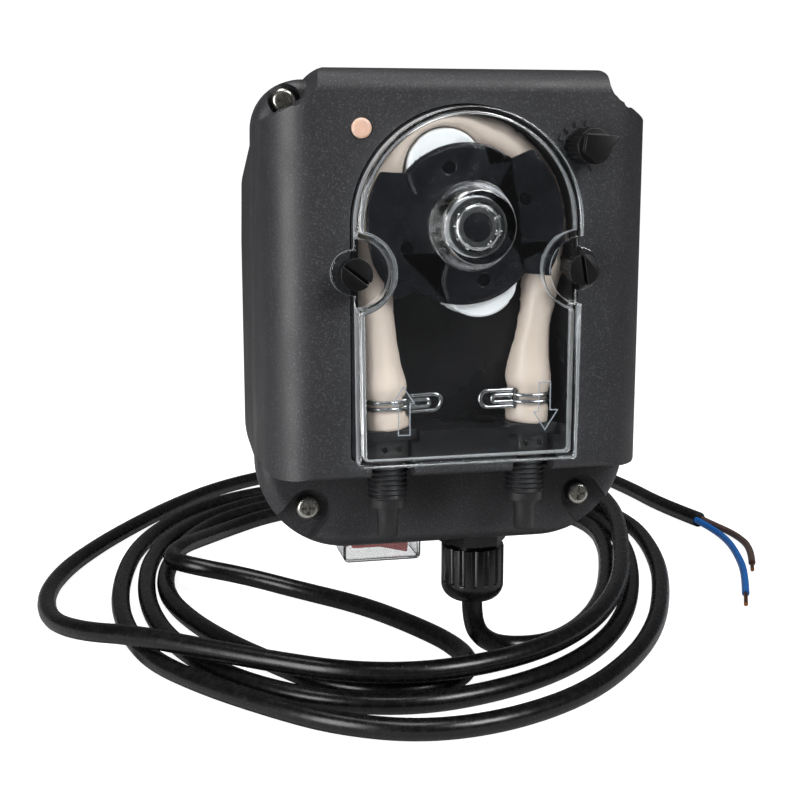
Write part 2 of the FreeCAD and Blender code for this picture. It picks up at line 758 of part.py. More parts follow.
def gear_solids():
    """The gear train: output wheel, idler cluster and motor pinion."""
    layer_a = gearbox_start + gearbox_wall + 1.0
    layer_b = layer_a + gear_width + 0.8
    output = gear(wheel_teeth, (0, 0), layer_a, 0)
    output = output.cut(rod(shaft_radius + shaft_clearance, at(0, layer_a - 1, 0), gear_width + 2))
    idler_turn = meshed((0, 0), idler_place, pinion_teeth, 0, wheel_teeth)
    idler = gear(pinion_teeth, idler_place, layer_a, idler_turn)
    idler = idler.fuse(rod(3.0, at(idler_place[0], layer_a + gear_width, idler_place[1]), 0.8))
    idler = idler.fuse(gear(wheel_teeth, idler_place, layer_b, 0))
    idler = idler.cut(rod(1.05, at(idler_place[0], layer_a - 1, idler_place[1]), 2 * gear_width + 4))
    pinion_turn = meshed(idler_place, motor_place, pinion_teeth, 0, wheel_teeth)
    pinion = gear(pinion_teeth, motor_place, layer_b, pinion_turn)
    pinion = pinion.cut(rod(1.0 + shaft_clearance, at(motor_place[0], layer_b - 1, motor_place[1]), gear_width + 2))
    return output, idler.removeSplitter(), pinion


def gearbox_outline(inset, depth_a, depth_b):
    """The gearbox's rounded outline round its three axes."""
    lobes = [((0, 0), 19.6), (idler_place, 19.6), (motor_place, 8.0)]
    form = None
    for place, radius in lobes:
        lobe = rod(radius - inset, at(place[0], depth_a, place[1]), depth_b - depth_a)
        form = lobe if form is None else form.fuse(lobe)
    return form


def gearbox_front():
    """Front cover of the gearbox, screwed behind the pump head."""
    plate = gearbox_outline(0, gearbox_start, gearbox_start + gearbox_wall)
    plate = plate.cut(rod(shaft_radius + 0.1, at(0, chamber_depth, 0), 12))
    return plate.cut(rod(1.0 + shaft_clearance, at(idler_place[0], gearbox_start - 1, idler_place[1]), 4)).removeSplitter()


def gearbox_case():
    """Rear housing of the gearbox, which also carries the motor."""
    start = gearbox_start + gearbox_wall
    end = gearbox_start + gearbox_length
    body = gearbox_outline(0, start, end).cut(gearbox_outline(gearbox_wall, start - 1, end - gearbox_wall))
    body = body.cut(rod(shaft_radius + 0.1, at(0, end - 4, 0), 6))
    body = body.cut(rod(1.0 + shaft_clearance, at(idler_place[0], end - 4, idler_place[1]), 6))
    return body.cut(rod(1.6, at(motor_place[0], end - 4, motor_place[1]), 6)).removeSplitter()


def motor_can():
    """Closed round can of the motor."""
    start = gearbox_start + gearbox_length
    centre = at(motor_place[0], start, motor_place[1])
    can = rod(motor_radius, centre, motor_length)
    can = can.makeFillet(1.5, [e for e in can.Edges if len(e.Vertexes) == 1 and e.BoundBox.YMin > centre.y + 1])
    hollow = rod(motor_radius - motor_wall, centre + V(0, motor_wall, 0), motor_length - 2 * motor_wall)
    return can.cut(hollow).cut(rod(1.6, centre - V(0, 1, 0), 3))


def armature():
    """The motor's turning part on its shaft, with the pinion's seat in front."""
    start = gearbox_start + gearbox_length
    centre = at(motor_place[0], start, motor_place[1])
    core = rod(armature_radius, centre + V(0, 4, 0), motor_length - 9)
    front = gearbox_start + gearbox_wall + gear_width + 1.8 - start
    return core.fuse(rod(1.0, centre + V(0, front, 0), motor_length - 2 - front))


def drive_shaft():
    """Steel output shaft, from the gearbox through the rotor."""
    end = gearbox_start + gearbox_length - 0.5
    start = plate_front + 0.4
    return rod(shaft_radius, at(0, start, 0), end - start)


def tube_path():
    """Tangent points of the tube's legs on the round track."""
    foot = chamber_bottom
    distance = math.hypot(leg_foot, foot)
    lean = math.degrees(math.acos(tube_orbit / distance))
    right = math.degrees(math.atan2(foot, leg_foot)) + lean
    return right, foot


def pump_tube():
    """The squeezed tube: two legs on the connectors and a bend round the track, pressed flat under the top roller."""
    right, foot = tube_path()
    start = at(leg_foot, tube_axis, foot)
    touch_right = polar(tube_orbit, right, tube_axis)
    touch_left = polar(tube_orbit, 180 - right, tube_axis)
    over = polar(tube_orbit, 90, tube_axis)
    end = at(-leg_foot, tube_axis, foot)
    legs = []
    for leg_start, leg_end in ((start, touch_right), (end, touch_left)):
        way = leg_end - leg_start
        profile = [(0, 0), (tube_foot_radius, 0), (tube_foot_radius, 3.8), (tube_neck, 4.7), (tube_neck, 8.2), (tube_bulge, 9.8),
                   (tube_bulge, 11.4), (tube_radius + 0.3, 16.0), (tube_radius, 21.0), (tube_radius, way.Length), (0, way.Length)]
        wire = Part.makePolygon([V(r, 0, z) for r, z in profile + profile[:1]])
        leg = Part.Face(wire).revolve(V(0, 0, 0), V(0, 0, 1), 360)
        if leg.Volume < 0:
            leg.reverse()
        leg.rotate(V(0, 0, 0), V(0, 1, 0), math.degrees(math.atan2(way.x, way.z)))
        leg.translate(leg_start)
        legs.append(leg)
    bend_edge = Part.Arc(touch_right, over, touch_left).toShape()
    ahead = (touch_right - start).normalize()
    profile = Part.Wire([Part.makeCircle(tube_radius, touch_right, ahead)])
    bend = Part.Wire([bend_edge]).makePipeShell([profile], True, False)
    tube = legs[0].fuse(legs[1:] + [bend])
    for leg_start, leg_end in ((start, touch_right), (end, touch_left)):
        way = leg_end - leg_start
        tube = tube.cut(rod(barb_radius + 0.1, leg_start - way * 0.01, barb_length + 1.2, way))
    squeeze = rod(roller_radius + 0.15, polar(roller_orbit, rest_angle, 0), 20)
    floor_trim = box(at(0, tube_axis, foot - 5), (60, 20, 10))
    for side in (-1, 1):
        tube = tube.cut(rod(screw_boss_radius + tube_play, at(side * thumb_x, -5, thumb_z), screw_boss_depth + 6))
    return tube.cut(squeeze).cut(floor_trim).removeSplitter()


def leg_point(side, z):
    """The middle of a tube leg at a given height."""
    right, foot = tube_path()
    touch = polar(tube_orbit, right, tube_axis)
    share = (z - foot) / (touch.z - hub_z - foot)
    x = leg_foot + (touch.x - leg_foot) * share
    return at(side * x, tube_axis, z)


def tube_clip(side):
    """Double-wire spring clip round the tube's foot, with its looped ears towards the middle."""
    centre = leg_point(side, clip_z)
    wires = []
    for rise in (-clip_pitch / 2, clip_pitch / 2):
        loop = Part.makeTorus(tube_neck + clip_wire + 0.1, clip_wire, centre + V(0, 0, rise), V(0, 0, 1))
        wires.append(loop)
    ear_start = centre + V(-side * (tube_neck - 0.3), -tube_neck * 0.66, 0)
    for reach, half in ((clip_ear_length, 2.1), (clip_ear_length - 3.2, 0.85)):
        tip = reach - half
        for rise in (-half, half):
            wires.append(rod(clip_wire, ear_start + V(0, 0, rise), tip, V(-side, 0, 0)))
        bend = Part.makeTorus(half, clip_wire, ear_start + V(-side * tip, 0, 0), V(0, 1, 0))
        cutter = box(ear_start + V(-side * (tip + half + 1), 0, 0), (2 * half + 2, 4, 4 * half + 4))
        wires.append(bend.common(cutter))
    solid = wires[0].fuse(wires[1:])
    post = box(ear_start + V(side * 0.2, 0, 0), (1.2, 1.2, 5.2))
    solid = solid.fuse(post)
    foot_point = leg_point(side, clip_z - 5)
    way = (leg_point(side, clip_z + 5) - foot_point).normalize()
    for start, length in ((0, 3.2), (6.8, 3.2)):
        solid = solid.cut(rod(tube_bulge + 0.1, foot_point + way * start, length, way))
    return solid.cut(rod(tube_neck + 0.12, foot_point, 10, way)).removeSplitter()


def connector(side):
    """Hose connector: barb in the tube, keyed flange in the cup, ribbed collar and outlet spigot."""
    x = side * leg_foot
    right, foot = tube_path()
    way = polar(tube_orbit, right, tube_axis) - at(leg_foot, tube_axis, foot)
    way = V(side * way.x, way.y, way.z)
    start = at(x, tube_axis, foot)
    body = rod(barb_radius, start, barb_length, way)
    body = body.fuse(box(at(x, tube_axis, foot - flange_size[1] / 2), (flange_size[0], flange_size[2], flange_size[1])))
    neck_z = foot - flange_size[1] - neck_size[1] / 2
    body = body.fuse(box(at(x, tube_axis, neck_z), (neck_size[0], neck_size[2], neck_size[1])))
    collar_top = foot - flange_size[1] - neck_size[1]
    profile = [(0, collar_top + 1.0), (thread_root, collar_top + 1.0)]
    for i in range(thread_turns):
        z = thread_top - i * thread_pitch
        profile += [(thread_root, z), (thread_radius, z - thread_pitch * 0.4), (thread_root, z - thread_pitch * 0.8)]
    profile += [(thread_root, thread_foot), (spigot_top_radius, thread_foot), (spigot_end_radius, spigot_straight),
                (spigot_end_radius, spigot_end + 0.4), (spigot_end_radius - 0.3, spigot_end), (0, spigot_end)]
    wire = Part.makePolygon([at(x + r, tube_axis, z) for r, z in profile + profile[:1]])
    collar = Part.Face(wire).revolve(at(x, tube_axis, 0), V(0, 0, 1), 360)
    if collar.Volume < 0:
        collar.reverse()
    body = body.fuse(collar)
    body = body.cut(rod(connector_bore, at(x, tube_axis, spigot_end - 1), foot - spigot_end + 1, V(0, 0, 1)))
    body = body.cut(rod(connector_bore, start - way * 0.02, barb_length + 2, way))
    for dx in (-1.9, 1.9):
        body = body.cut(rod(0.75, at(x + dx, tube_axis - neck_size[2] / 2 - 0.5, neck_z), 1.6))
    return body.removeSplitter()


def speed_knob():
    """Ribbed trimmer knob with an arrow on its face."""
    back = -dial_height - knob_gap
    body = rod(knob_radius, at(knob_x, back - knob_height, knob_z), knob_height)
    for i in range(knob_ribs):
        turn = math.radians(i * 360.0 / knob_ribs)
        spot = at(knob_x + knob_radius * math.cos(turn), back - knob_height + 1.0, knob_z + knob_radius * math.sin(turn))
        body = body.cut(rod(0.26, spot, knob_height))
    front = back - knob_height - knob_pointer_height
    arrow = [(knob_pointer_reach, 0.0), (-1.2, 3.7), (-3.4, 0.0), (-1.2, -3.7)]
    wire = rounded_wire([at(knob_x + x, front, knob_z + z) for x, z in arrow], [0.3, 0.6, 1.0, 0.6])
    pointer = Part.Face(wire).extrude(V(0, knob_pointer_height + 0.5, 0))
    pointer.rotate(at(knob_x, 0, knob_z), V(0, 1, 0), -knob_pointer_angle)
    return body.fuse(pointer).removeSplitter()


def knob_spindle():
    """Spindle of the speed potentiometer, pressed into the knob."""
    start = -dial_height - knob_gap + 0.02
    return rod(spindle_radius - 0.05, at(knob_x, start, knob_z), pot_depth - 0.1 - start)


def potentiometer():
    """Body of the speed potentiometer behind the panel."""
    body = rod(pot_radius, at(knob_x, pot_depth, knob_z), pot_length)
    return body.fuse(box(at(knob_x, pot_depth + pot_length + 1.0, knob_z), (1.5 * pot_radius, 2.0, 1.5 * pot_radius)))


def signal_lamp():
    """Domed lens of the signal lamp."""
    lens = rod(lamp_radius, at(lamp_x, -lamp_proud, lamp_z), 6.0)
    lens = lens.makeFillet(0.75, [e for e in lens.Edges if e.BoundBox.YMax < panel_y])
    return lens.fuse(rod(lamp_radius + 0.6, at(lamp_x, case_wall, lamp_z), 1.0)).removeSplitter()


def switch_frame():
    """Black frame of the power switch with its body up inside the case."""
    low = V(switch_x, floor_y, case_floor - bezel_drop / 2)
    frame = box(low, (switch_length + 3, switch_breadth + 2.4, bezel_drop))
    body = box(V(switch_x, floor_y, case_floor + switch_body_height / 2), (switch_length - 2.4, switch_breadth - 2.4, switch_body_height))
    frame = frame.fuse(body)
    well = box(V(switch_x, floor_y, case_floor - bezel_drop / 2 + 1.4), (rocker_length + 2.4, rocker_breadth + 1.2, bezel_drop + 4))
    half = rocker_breadth / 2 + 1.45
    seat = rod(rocker_pin_radius, V(switch_x, floor_y - half, case_floor - bezel_drop + rocker_pivot), 2 * half)
    return frame.cut(well).cut(seat).removeSplitter()


def switch_rocker():
    """Red rocker, with two faces that meet at its pivot."""
    z = case_floor - bezel_drop
    half = rocker_length / 2
    rise = half * math.tan(math.radians(rocker_tilt))
    points = [V(-half, 0, 2.4), V(half, 0, 2.4), V(half, 0, -1.6 - rise), V(0, 0, -1.6), V(-half, 0, -1.6 - rise)]
    wire = rounded_wire([V(switch_x + p.x, floor_y - rocker_breadth / 2, z + p.z) for p in points], [0.5, 0.5, 0.5, 0, 0.5])
    body = Part.Face(wire).extrude(V(0, rocker_breadth, 0))
    pivot = V(switch_x, floor_y, z + rocker_pivot)
    body = body.cut(rod(rocker_pin_radius + 0.05, pivot - V(0, rocker_breadth, 0), 2 * rocker_breadth))
    body.rotate(pivot, V(0, 1, 0), rocker_tilt)
    return body


def switch_pin():
    """Pivot pin of the rocker."""
    half = rocker_breadth / 2 + 1.4
    return rod(rocker_pin_radius, V(switch_x, floor_y - half, case_floor - bezel_drop + rocker_pivot), 2 * half)


def switch_cap():
    """Clear splash cap over the rocker."""
    top = case_floor - bezel_drop
    height = cap_drop - bezel_drop
    outer = box(V(switch_x, floor_y, top - height / 2), (switch_length, switch_breadth, height))
    low = [e for e in outer.Edges if e.BoundBox.ZMin < top - 0.1]
    outer = outer.makeFillet(1.6, low)
    inner = box(V(switch_x, floor_y, top - (height - cap_wall) / 2 + 0.01),
                (switch_length - 2 * cap_wall, switch_breadth - 2 * cap_wall, height - cap_wall))
    return outer.cut(inner)


def gland_body():
    """Fixed part of the cable gland: hexagon under the case and thread up through its floor."""
    centre = V(gland_x, floor_y, case_floor - hex_drop)
    corner = hex_across / 2 / math.cos(math.radians(30))
    points = [centre + V(corner * math.cos(math.radians(60 * i)), corner * math.sin(math.radians(60 * i)), 0) for i in range(7)]
    body = Part.Face(Part.makePolygon(points)).extrude(V(0, 0, hex_drop))
    body = body.fuse(rod(gland_thread_radius, centre + V(0, 0, hex_drop), 9.0, V(0, 0, 1)))
    neck_end = nut_end + nut_seat + seal_length + 0.15
    body = body.fuse(rod(gland_thread_radius + 0.5, centre, centre.z - neck_end, V(0, 0, -1)))
    return body.cut(rod(cord_radius + 1.2, centre - V(0, 0, 14), 40, V(0, 0, 1))).removeSplitter()


def gland_locknut():
    """Nut that holds the gland inside the case."""
    centre = V(gland_x, floor_y, case_floor + case_wall + 0.1)
    corner = hex_across / 2 / math.cos(math.radians(30))
    points = [centre + V(corner * math.cos(math.radians(60 * i)), corner * math.sin(math.radians(60 * i)), 0) for i in range(7)]
    body = Part.Face(Part.makePolygon(points)).extrude(V(0, 0, 4.0))
    return body.cut(rod(gland_thread_radius + 0.05, centre - V(0, 0, 1), 6, V(0, 0, 1)))


def gland_nut():
    """Domed clamping nut of the gland, ribbed for the fingers."""
    top = case_floor - hex_drop - gland_nut_gap
    x, y = gland_x, floor_y
    straight = nut_length - nut_dome
    points = [V(x, y, top), V(x + nut_radius, y, top), V(x + nut_radius, y, top - straight)]
    dome_mid = V(x + nut_mouth + (nut_radius - nut_mouth) * 0.72, y, top - straight - nut_dome * 0.72)
    dome_end = V(x + nut_mouth, y, nut_end)
    edges = [Part.LineSegment(points[0], points[1]).toShape(), Part.LineSegment(points[1], points[2]).toShape(),
             Part.Arc(points[2], dome_mid, dome_end).toShape(),
             Part.LineSegment(dome_end, V(x, y, nut_end)).toShape(), Part.LineSegment(V(x, y, nut_end), points[0]).toShape()]
    body = Part.Face(Part.Wire(edges)).revolve(V(x, y, 0), V(0, 0, 1), 360)
    if body.Volume < 0:
        body.reverse()
    for i in range(nut_ribs):
        turn = math.radians((i + 0.5) * 360.0 / nut_ribs)
        spot = V(x + (nut_radius + 0.5) * math.cos(turn), y + (nut_radius + 0.5) * math.sin(turn), top - straight + 0.6)
        body = body.cut(rod(1.0, spot, straight, V(0, 0, 1)))
    body = body.cut(rod(gland_thread_radius + 0.6, V(x, y, nut_end + nut_seat), nut_length, V(0, 0, 1)))
    return body.cut(rod(cord_radius + 0.35, V(x, y, nut_end - 1), nut_length, V(0, 0, 1))).removeSplitter()


def gland_seal():
    """Rubber bush that grips the cord inside the nut."""
    return ring(gland_thread_radius + 0.5, cord_radius, V(gland_x, floor_y, nut_end + nut_seat + 0.05), seal_length, V(0, 0, 1))


def circuit_board():
    """Control board standing at the back of the case."""
    board = box(V(0, panel_y + board_depth, board_z), board_size)
    for x, height, depth in ((-22.0, 14.0, 9.0), (-6.0, 8.0, 6.0), (12.0, 16.0, 12.0), (26.0, 9.0, 8.0)):
        board = board.fuse(box(V(x, panel_y + board_depth - board_size[1] / 2 - depth / 2, board_z), (9.0, depth, height)))
    return board


def cord_route():
    """The cord's route: down from the gland, back and forth, three loose turns on the ground and out to its stripped end."""
    low = ground_z + cord_radius
    over = low + 2 * cord_radius + layer_gap
    part_way = (low + over) / 2
    exit_drops = (0.0, 6.5, 13.4)
    lead = [(gland_x, floor_y, nut_end - exit_drops[0]), (gland_x, floor_y, nut_end - exit_drops[1]),
            (gland_x + 3.3, floor_y + 2.3, nut_end - exit_drops[2]), (gland_x + 12.0, floor_y + 8.0, low)]
    flat = [
        (39, -34, 0), (52, -24, 0), (64, -8, 0), (74, 10, 0), (84, 34, 0), (93, 60, 0), (98, 86, 0), (93, 110, 0),
        (78, 128, 0), (54, 139, 0), (26, 143, 0), (0, 141, 0), (-24, 132, 0), (-43, 114, 0), (-54, 92, 1),
        (-63, 72, 2), (-69, 57, 2), (-60, 46, 2), (-44, 43, 1), (-26, 33, 0), (-9, 14, 0), (3, -7, 0),
        (12, -28, 0), (13, -46, 0), (2, -59, 0), (-16, -60.6, 0), (-31, -51, 0), (-42, -34, 0), (-54.5, -12.5, 0),
        (-64, 10, 0), (-70, 34, 0), (-70, 58, 0), (-65, 84, 0), (-56, 110, 0), (-40, 133, 0), (-16, 149, 0),
        (14, 155, 0), (46, 153, 0), (75, 142, 0), (96, 121, 0), (105, 95, 0), (102, 68, 0), (95, 41, 0),
        (85, 14, 0), (73, -12, 0), (57, -36, 0), (38, -54, 0), (16, -65.5, 0), (-8, -70.6, 0), (-30, -64.6, 0),
        (-47, -52, 0), (-61, -33, 0), (-71, -8, 0), (-76, 18, 0), (-77, 46, 0), (-74.5, 76, 0), (-67, 104, 0),
        (-50, 132, 0), (-28, 153, 0), (2, 164, 0), (36, 165, 0), (68, 158, 0), (95, 140, 0), (110, 115, 0),
        (114, 88, 0), (110, 60, 0), (102, 30, 0), (91, 2, 0), (78, -25, 0), (61, -50, 0), (38, -73, 0),
        (12, -86, 0), (-12, -88, 0), (-33, -78, 0), (-49, -62, 0), (-65, -43, 0), (-78, -22, 0), (-84, 4, 0),
        (-86, 32, 0), (-84, 62, 0), (-79, 92, 0), (-69, 120, 0), (-54, 145, 0), (-31, 165, 0), (0, 176, 0),
        (36, 178, 0), (68, 171, 0), (88, 158, 1), (102, 140, 2), (110, 116, 2), (107, 90, 2), (99, 62, 2),
        (89, 34, 2), (79, 8, 2), (67, -15, 2), (53, -35, 2), (36, -51, 2), (16, -61, 2), (-6, -65, 2),
        (-27, -60, 2), (-46, -47, 2), (-64, -33, 2), (-82, -18, 2), (-98, -2, 1), (-108, 20, 0), (-110, 46, 0),
        (-104, 74, 0), (-92, 102, 0), (-78, 128, 0), (-62, 154, 0), (-42, 180, 0), (-16, 200, 0), (16, 212, 0),
        (50, 216, 0), (84, 210, 0), (112, 194, 0), (130, 170, 0), (135, 141, 0), (137, 113, 0), (143, 88, 0),
    ]
    heights = (low, part_way, over)
    return [V(x, y, z) for x, y, z in lead] + [V(x, y, heights[layer]) for x, y, layer in flat]


def smooth_path(points, share=bend_share):
    """Straight runs joined by tangent arcs, each as large as its two runs allow."""
    edges = []
    radii = []
    last = points[0]
    for i in range(1, len(points) - 1):
        here = points[i]
        back = points[i - 1] - here
        ahead = points[i + 1] - here
        shorter = min(back.Length, ahead.Length)
        reach = share * shorter
        back.normalize()
        ahead.normalize()
        half_turn = (math.pi - back.getAngle(ahead)) / 2
        radius = reach / math.tan(half_turn)
        radii.append(radius)
        start = here + back * reach
        end = here + ahead * reach
        middle = (back + ahead).normalize()
        bow = here + middle * (radius / math.cos(half_turn) - radius)
        if (start - last).Length > 1e-6:
            edges.append(Part.LineSegment(last, start).toShape())
        edges.append(Part.Arc(start, bow, end).toShape())
        last = end
    edges.append(Part.LineSegment(last, points[-1]).toShape())
    return Part.Wire(edges), radii


def swept(points, radius, name):
    """A round tube along a smooth path, with its volume compared with section times length."""
    path, radii = smooth_path(points)
    ahead = (points[1] - points[0]).normalize()
    profile = Part.Wire([Part.makeCircle(radius, points[0], ahead)])
    solid = path.makePipeShell([profile], True, False)
    share = solid.Volume / (math.pi * radius ** 2 * path.Length)
    print("%s: length %.0f mm, least radius %.1f mm, volume share %.4f, valid %s"
          % (name, path.Length, min(radii), share, solid.isValid()))
    print("radii:", " ".join("%.0f" % r for r in radii))
    return solid, path


def cord_pieces():
    """The mains cord and its two stripped cores with bare copper ends."""
    points = cord_route()
    cord, path = swept(points, cord_radius, "mains_cord")
    end = points[-1]
    way = (points[-1] - points[-2]).normalize()
    side = V(-way.y, way.x, 0)
    low = ground_z + core_radius
    pieces = []
    routes = (
        ("brown", 1.45, [(150.5, 70.0), (148.0, 52.0), (140.0, 35.0)], 9.0),
        ("blue", -1.45, [(144.5, 66.0), (139.5, 46.0), (132.0, 24.0), (122.0, 3.0)], 12.0),
    )
    for name, shift, flat, bare in routes:
        first = end + side * shift + way * 0.1
        route = [first, first + way * 6.0 - V(0, 0, 0.4)] + [V(x, y, low) for x, y in flat]
        core, _ = swept(route, core_radius, "cord_core_" + name)
        tip_way = (route[-1] - route[-2]).normalize()
        copper = rod(copper_radius, route[-1], bare, tip_way)
        pieces.append((core, copper))
    return cord, pieces


os.makedirs("parts", exist_ok=True)

save("front_shell", front_shell())
save("rear_case", rear_case())
save("case_gasket", case_gasket())
save("casing_screws", *[casing_screw(x, z) for x, z in screw_places()])
save("wall_bracket", wall_bracket())
save("pump_head_cup", pump_head_cup())
save("head_cover", head_cover())
save("thumb_screw_left", thumb_screw(-1, 38.0))
save("thumb_screw_right", thumb_screw(1, 80.0))

save("rotor_carrier", rotor_carrier())
save("rotor_back_plate", rotor_back_plate())
save("roller_axles", roller_axle(0), roller_axle(180))
save("guide_pins", guide_pin(0), guide_pin(180))
save("roller_upper", roller(0))
save("roller_lower", roller(180))
save("drive_shaft", drive_shaft())
save("bearing_outer_race", bearing_race(bearing_outer, race_outer_inside, 1))
save("bearing_inner_race", bearing_race(race_inner_outside, bearing_bore, -1))
save("bearing_balls", *bearing_balls())

output_gear, idler_gear, motor_pinion = gear_solids()
save("output_gear", output_gear)
save("idler_gear", idler_gear)
save("motor_pinion", motor_pinion)
save("idler_pin", rod(1.0, at(idler_place[0], gearbox_start + 0.1, idler_place[1]), gearbox_length - 0.2))
save("gearbox_front", gearbox_front())
save("gearbox_case", gearbox_case())
save("motor_can", motor_can())
save("motor_armature", armature())

save("pump_tube", pump_tube())
save("tube_clip_left", tube_clip(-1))
save("tube_clip_right", tube_clip(1))
save("inlet_connector", connector(-1))
save("outlet_connector", connector(-1).mirror(V(0, 0, 0), V(1, 0, 0)))

save("speed_knob", speed_knob())
save("knob_spindle", knob_spindle())
save("potentiometer", potentiometer())
save("signal_lamp", signal_lamp())

save("switch_frame", switch_frame())
save("switch_rocker", switch_rocker())
save("switch_pin", switch_pin())
save("switch_cap", switch_cap())
save("gland_body", gland_body())
save("gland_locknut", gland_locknut())
save("gland_nut", gland_nut())
save("gland_seal", gland_seal())
save("circuit_board", circuit_board())

mains_cord, cores = cord_pieces()
save("mains_cord", mains_cord)
save("cord_core_brown", cores[0][0])
save("cord_core_blue", cores[1][0])
save("cord_copper_ends", cores[0][1], cores[1][1])

for name, shape in bodies_done:
    box_now = shape.BoundBox
    print("%-20s solids %d valid %s volume %.0f box %.1f..%.1f %.1f..%.1f %.1f..%.1f" % (
        name, len(shape.Solids), shape.isValid(), shape.Volume, box_now.XMin, box_now.XMax,
        box_now.YMin, box_now.YMax, box_now.ZMin, box_now.ZMax))
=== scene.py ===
"""Dresses the wall-mounted peristaltic dosing pump: camera, light, finishes and soft pieces."""
import math

import bmesh
import bpy
import numpy as np
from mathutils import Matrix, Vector


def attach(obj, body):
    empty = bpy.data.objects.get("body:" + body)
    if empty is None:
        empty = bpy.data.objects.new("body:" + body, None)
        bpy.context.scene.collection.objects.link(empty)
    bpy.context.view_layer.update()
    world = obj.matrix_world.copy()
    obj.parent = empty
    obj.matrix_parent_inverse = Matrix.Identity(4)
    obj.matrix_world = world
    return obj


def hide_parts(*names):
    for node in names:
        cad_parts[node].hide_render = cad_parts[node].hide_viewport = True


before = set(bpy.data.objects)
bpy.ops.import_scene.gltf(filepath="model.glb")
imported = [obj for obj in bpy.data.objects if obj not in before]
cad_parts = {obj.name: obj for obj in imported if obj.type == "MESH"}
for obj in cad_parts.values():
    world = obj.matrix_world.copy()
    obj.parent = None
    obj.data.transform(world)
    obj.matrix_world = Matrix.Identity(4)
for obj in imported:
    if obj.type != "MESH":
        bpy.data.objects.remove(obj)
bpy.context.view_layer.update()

# Camera.
# A 63 mm lens about 0.4 m in front of the panel, a little to the left of it and level with the
# rotor, turned 12 degrees to the right and tipped 10 degrees down, as the pump was photographed.
camera_data = bpy.data.cameras.new("photo_camera")
camera_data.lens = 63.0
camera_data.sensor_width = 36.0
camera_data.clip_start = 0.01
camera_data.clip_end = 20.0
camera = bpy.data.objects.new("photo_camera", camera_data)
camera.location = (-0.0892, -0.4169, 0.0442)
camera.rotation_euler = (math.radians(90.0 - 10.49), 0.0, math.radians(-12.25))
bpy.context.scene.collection.objects.link(camera)
bpy.context.scene.camera = camera
bpy.context.scene.view_settings.view_transform = "Standard"


# Studio floor and light.
# A white sweep under the cord and far behind the case. One tall soft box stands level with the head
# on the left, one shines down from the upper right, and one hangs overhead for the edges.
def linear(hex_colour):
    """Turns an sRGB hex colour into linear RGBA, channel by channel by the sRGB curve."""
    parts = [int(hex_colour[i:i + 2], 16) / 255.0 for i in (1, 3, 5)]
    return [c / 12.92 if c <= 0.04045 else ((c + 0.055) / 1.055) ** 2.4 for c in parts] + [1.0]


def add_node(tree, kind, settings=None, inputs=None):
    """Adds one shader node; an input takes a plain value or another node's output."""
    new = tree.nodes.new(kind)
    for name, value in (settings or {}).items():
        setattr(new, name, value)
    for name, value in (inputs or {}).items():
        if isinstance(value, bpy.types.NodeSocket):
            tree.links.new(value, new.inputs[name])
        else:
            new.inputs[name].default_value = value
    return new


def empty_material(name):
    """A new node material with nothing in it yet."""
    material = bpy.data.materials.new(name)
    material.use_nodes = True
    material.node_tree.nodes.clear()
    return material, material.node_tree


def grid_mesh(name, points, closed_u=False, closed_v=False, caps=False):
    """Makes a mesh from rows and columns of points; rows or columns may join up, and caps close the ends."""
    rows, columns = points.shape[:2]
    index = np.arange(rows * columns).reshape(rows, columns)
    down = index if closed_u else index[:-1]
    below = np.roll(index, -1, 0) if closed_u else index[1:]
    if closed_v:
        quads = np.stack([down, np.roll(down, -1, 1), np.roll(below, -1, 1), below], -1)
    else:
        quads = np.stack([down[:, :-1], down[:, 1:], below[:, 1:], below[:, :-1]], -1)
    faces = quads.reshape(-1, 4).tolist()
    if caps:
        faces += [index[0][::-1].tolist(), index[-1].tolist()]
    mesh = bpy.data.meshes.new(name)
    mesh.from_pydata(points.reshape(-1, 3).tolist(), [], faces)
    mesh.polygons.foreach_set("use_smooth", np.ones(len(faces), bool))
    mesh.update()
    return mesh


def placed(name, data, material):
    """Links a new object at the origin and gives it its finish."""
    thing = bpy.data.objects.new(name, data)
    bpy.context.scene.collection.objects.link(thing)
    data.materials.append(material)
    return thing


def seen_in_picture(tree):
    """1 for a camera ray, and for one that went through clear plastic without having bounced; otherwise 0."""
    rays = add_node(tree, "ShaderNodeLightPath")
    bounced = add_node(tree, "ShaderNodeMath", {"operation": "ADD", "use_clamp": True},
                       {0: rays.outputs["Diffuse Depth"], 1: rays.outputs["Glossy Depth"]})
    direct = add_node(tree, "ShaderNodeMath", {"operation": "SUBTRACT"}, {0: 1.0, 1: bounced.outputs[0]})
    through = add_node(tree, "ShaderNodeMath", {"operation": "MULTIPLY"},
                       {0: rays.outputs["Is Transmission Ray"], 1: direct.outputs[0]})
    return add_node(tree, "ShaderNodeMath", {"operation": "MAXIMUM"},
                    {0: rays.outputs["Is Camera Ray"], 1: through.outputs[0]})


ground = -0.108
sweep_paper, tree = empty_material("white_sweep_paper")
seen = seen_in_picture(tree)
paper = add_node(tree, "ShaderNodeBsdfDiffuse", None, {"Color": linear("#c8c8c8")})
glow = add_node(tree, "ShaderNodeEmission", None, {"Color": linear("#ffffff"), "Strength": 0.95})
nothing = add_node(tree, "ShaderNodeEmission", None, {"Color": linear("#000000"), "Strength": 0.0})
lift = add_node(tree, "ShaderNodeMixShader", None,
                {0: seen.outputs[0], 1: nothing.outputs[0], 2: glow.outputs[0]})
both = add_node(tree, "ShaderNodeAddShader", None, {0: paper.outputs[0], 1: lift.outputs[0]})
add_node(tree, "ShaderNodeOutputMaterial", None, {"Surface": both.outputs[0]})

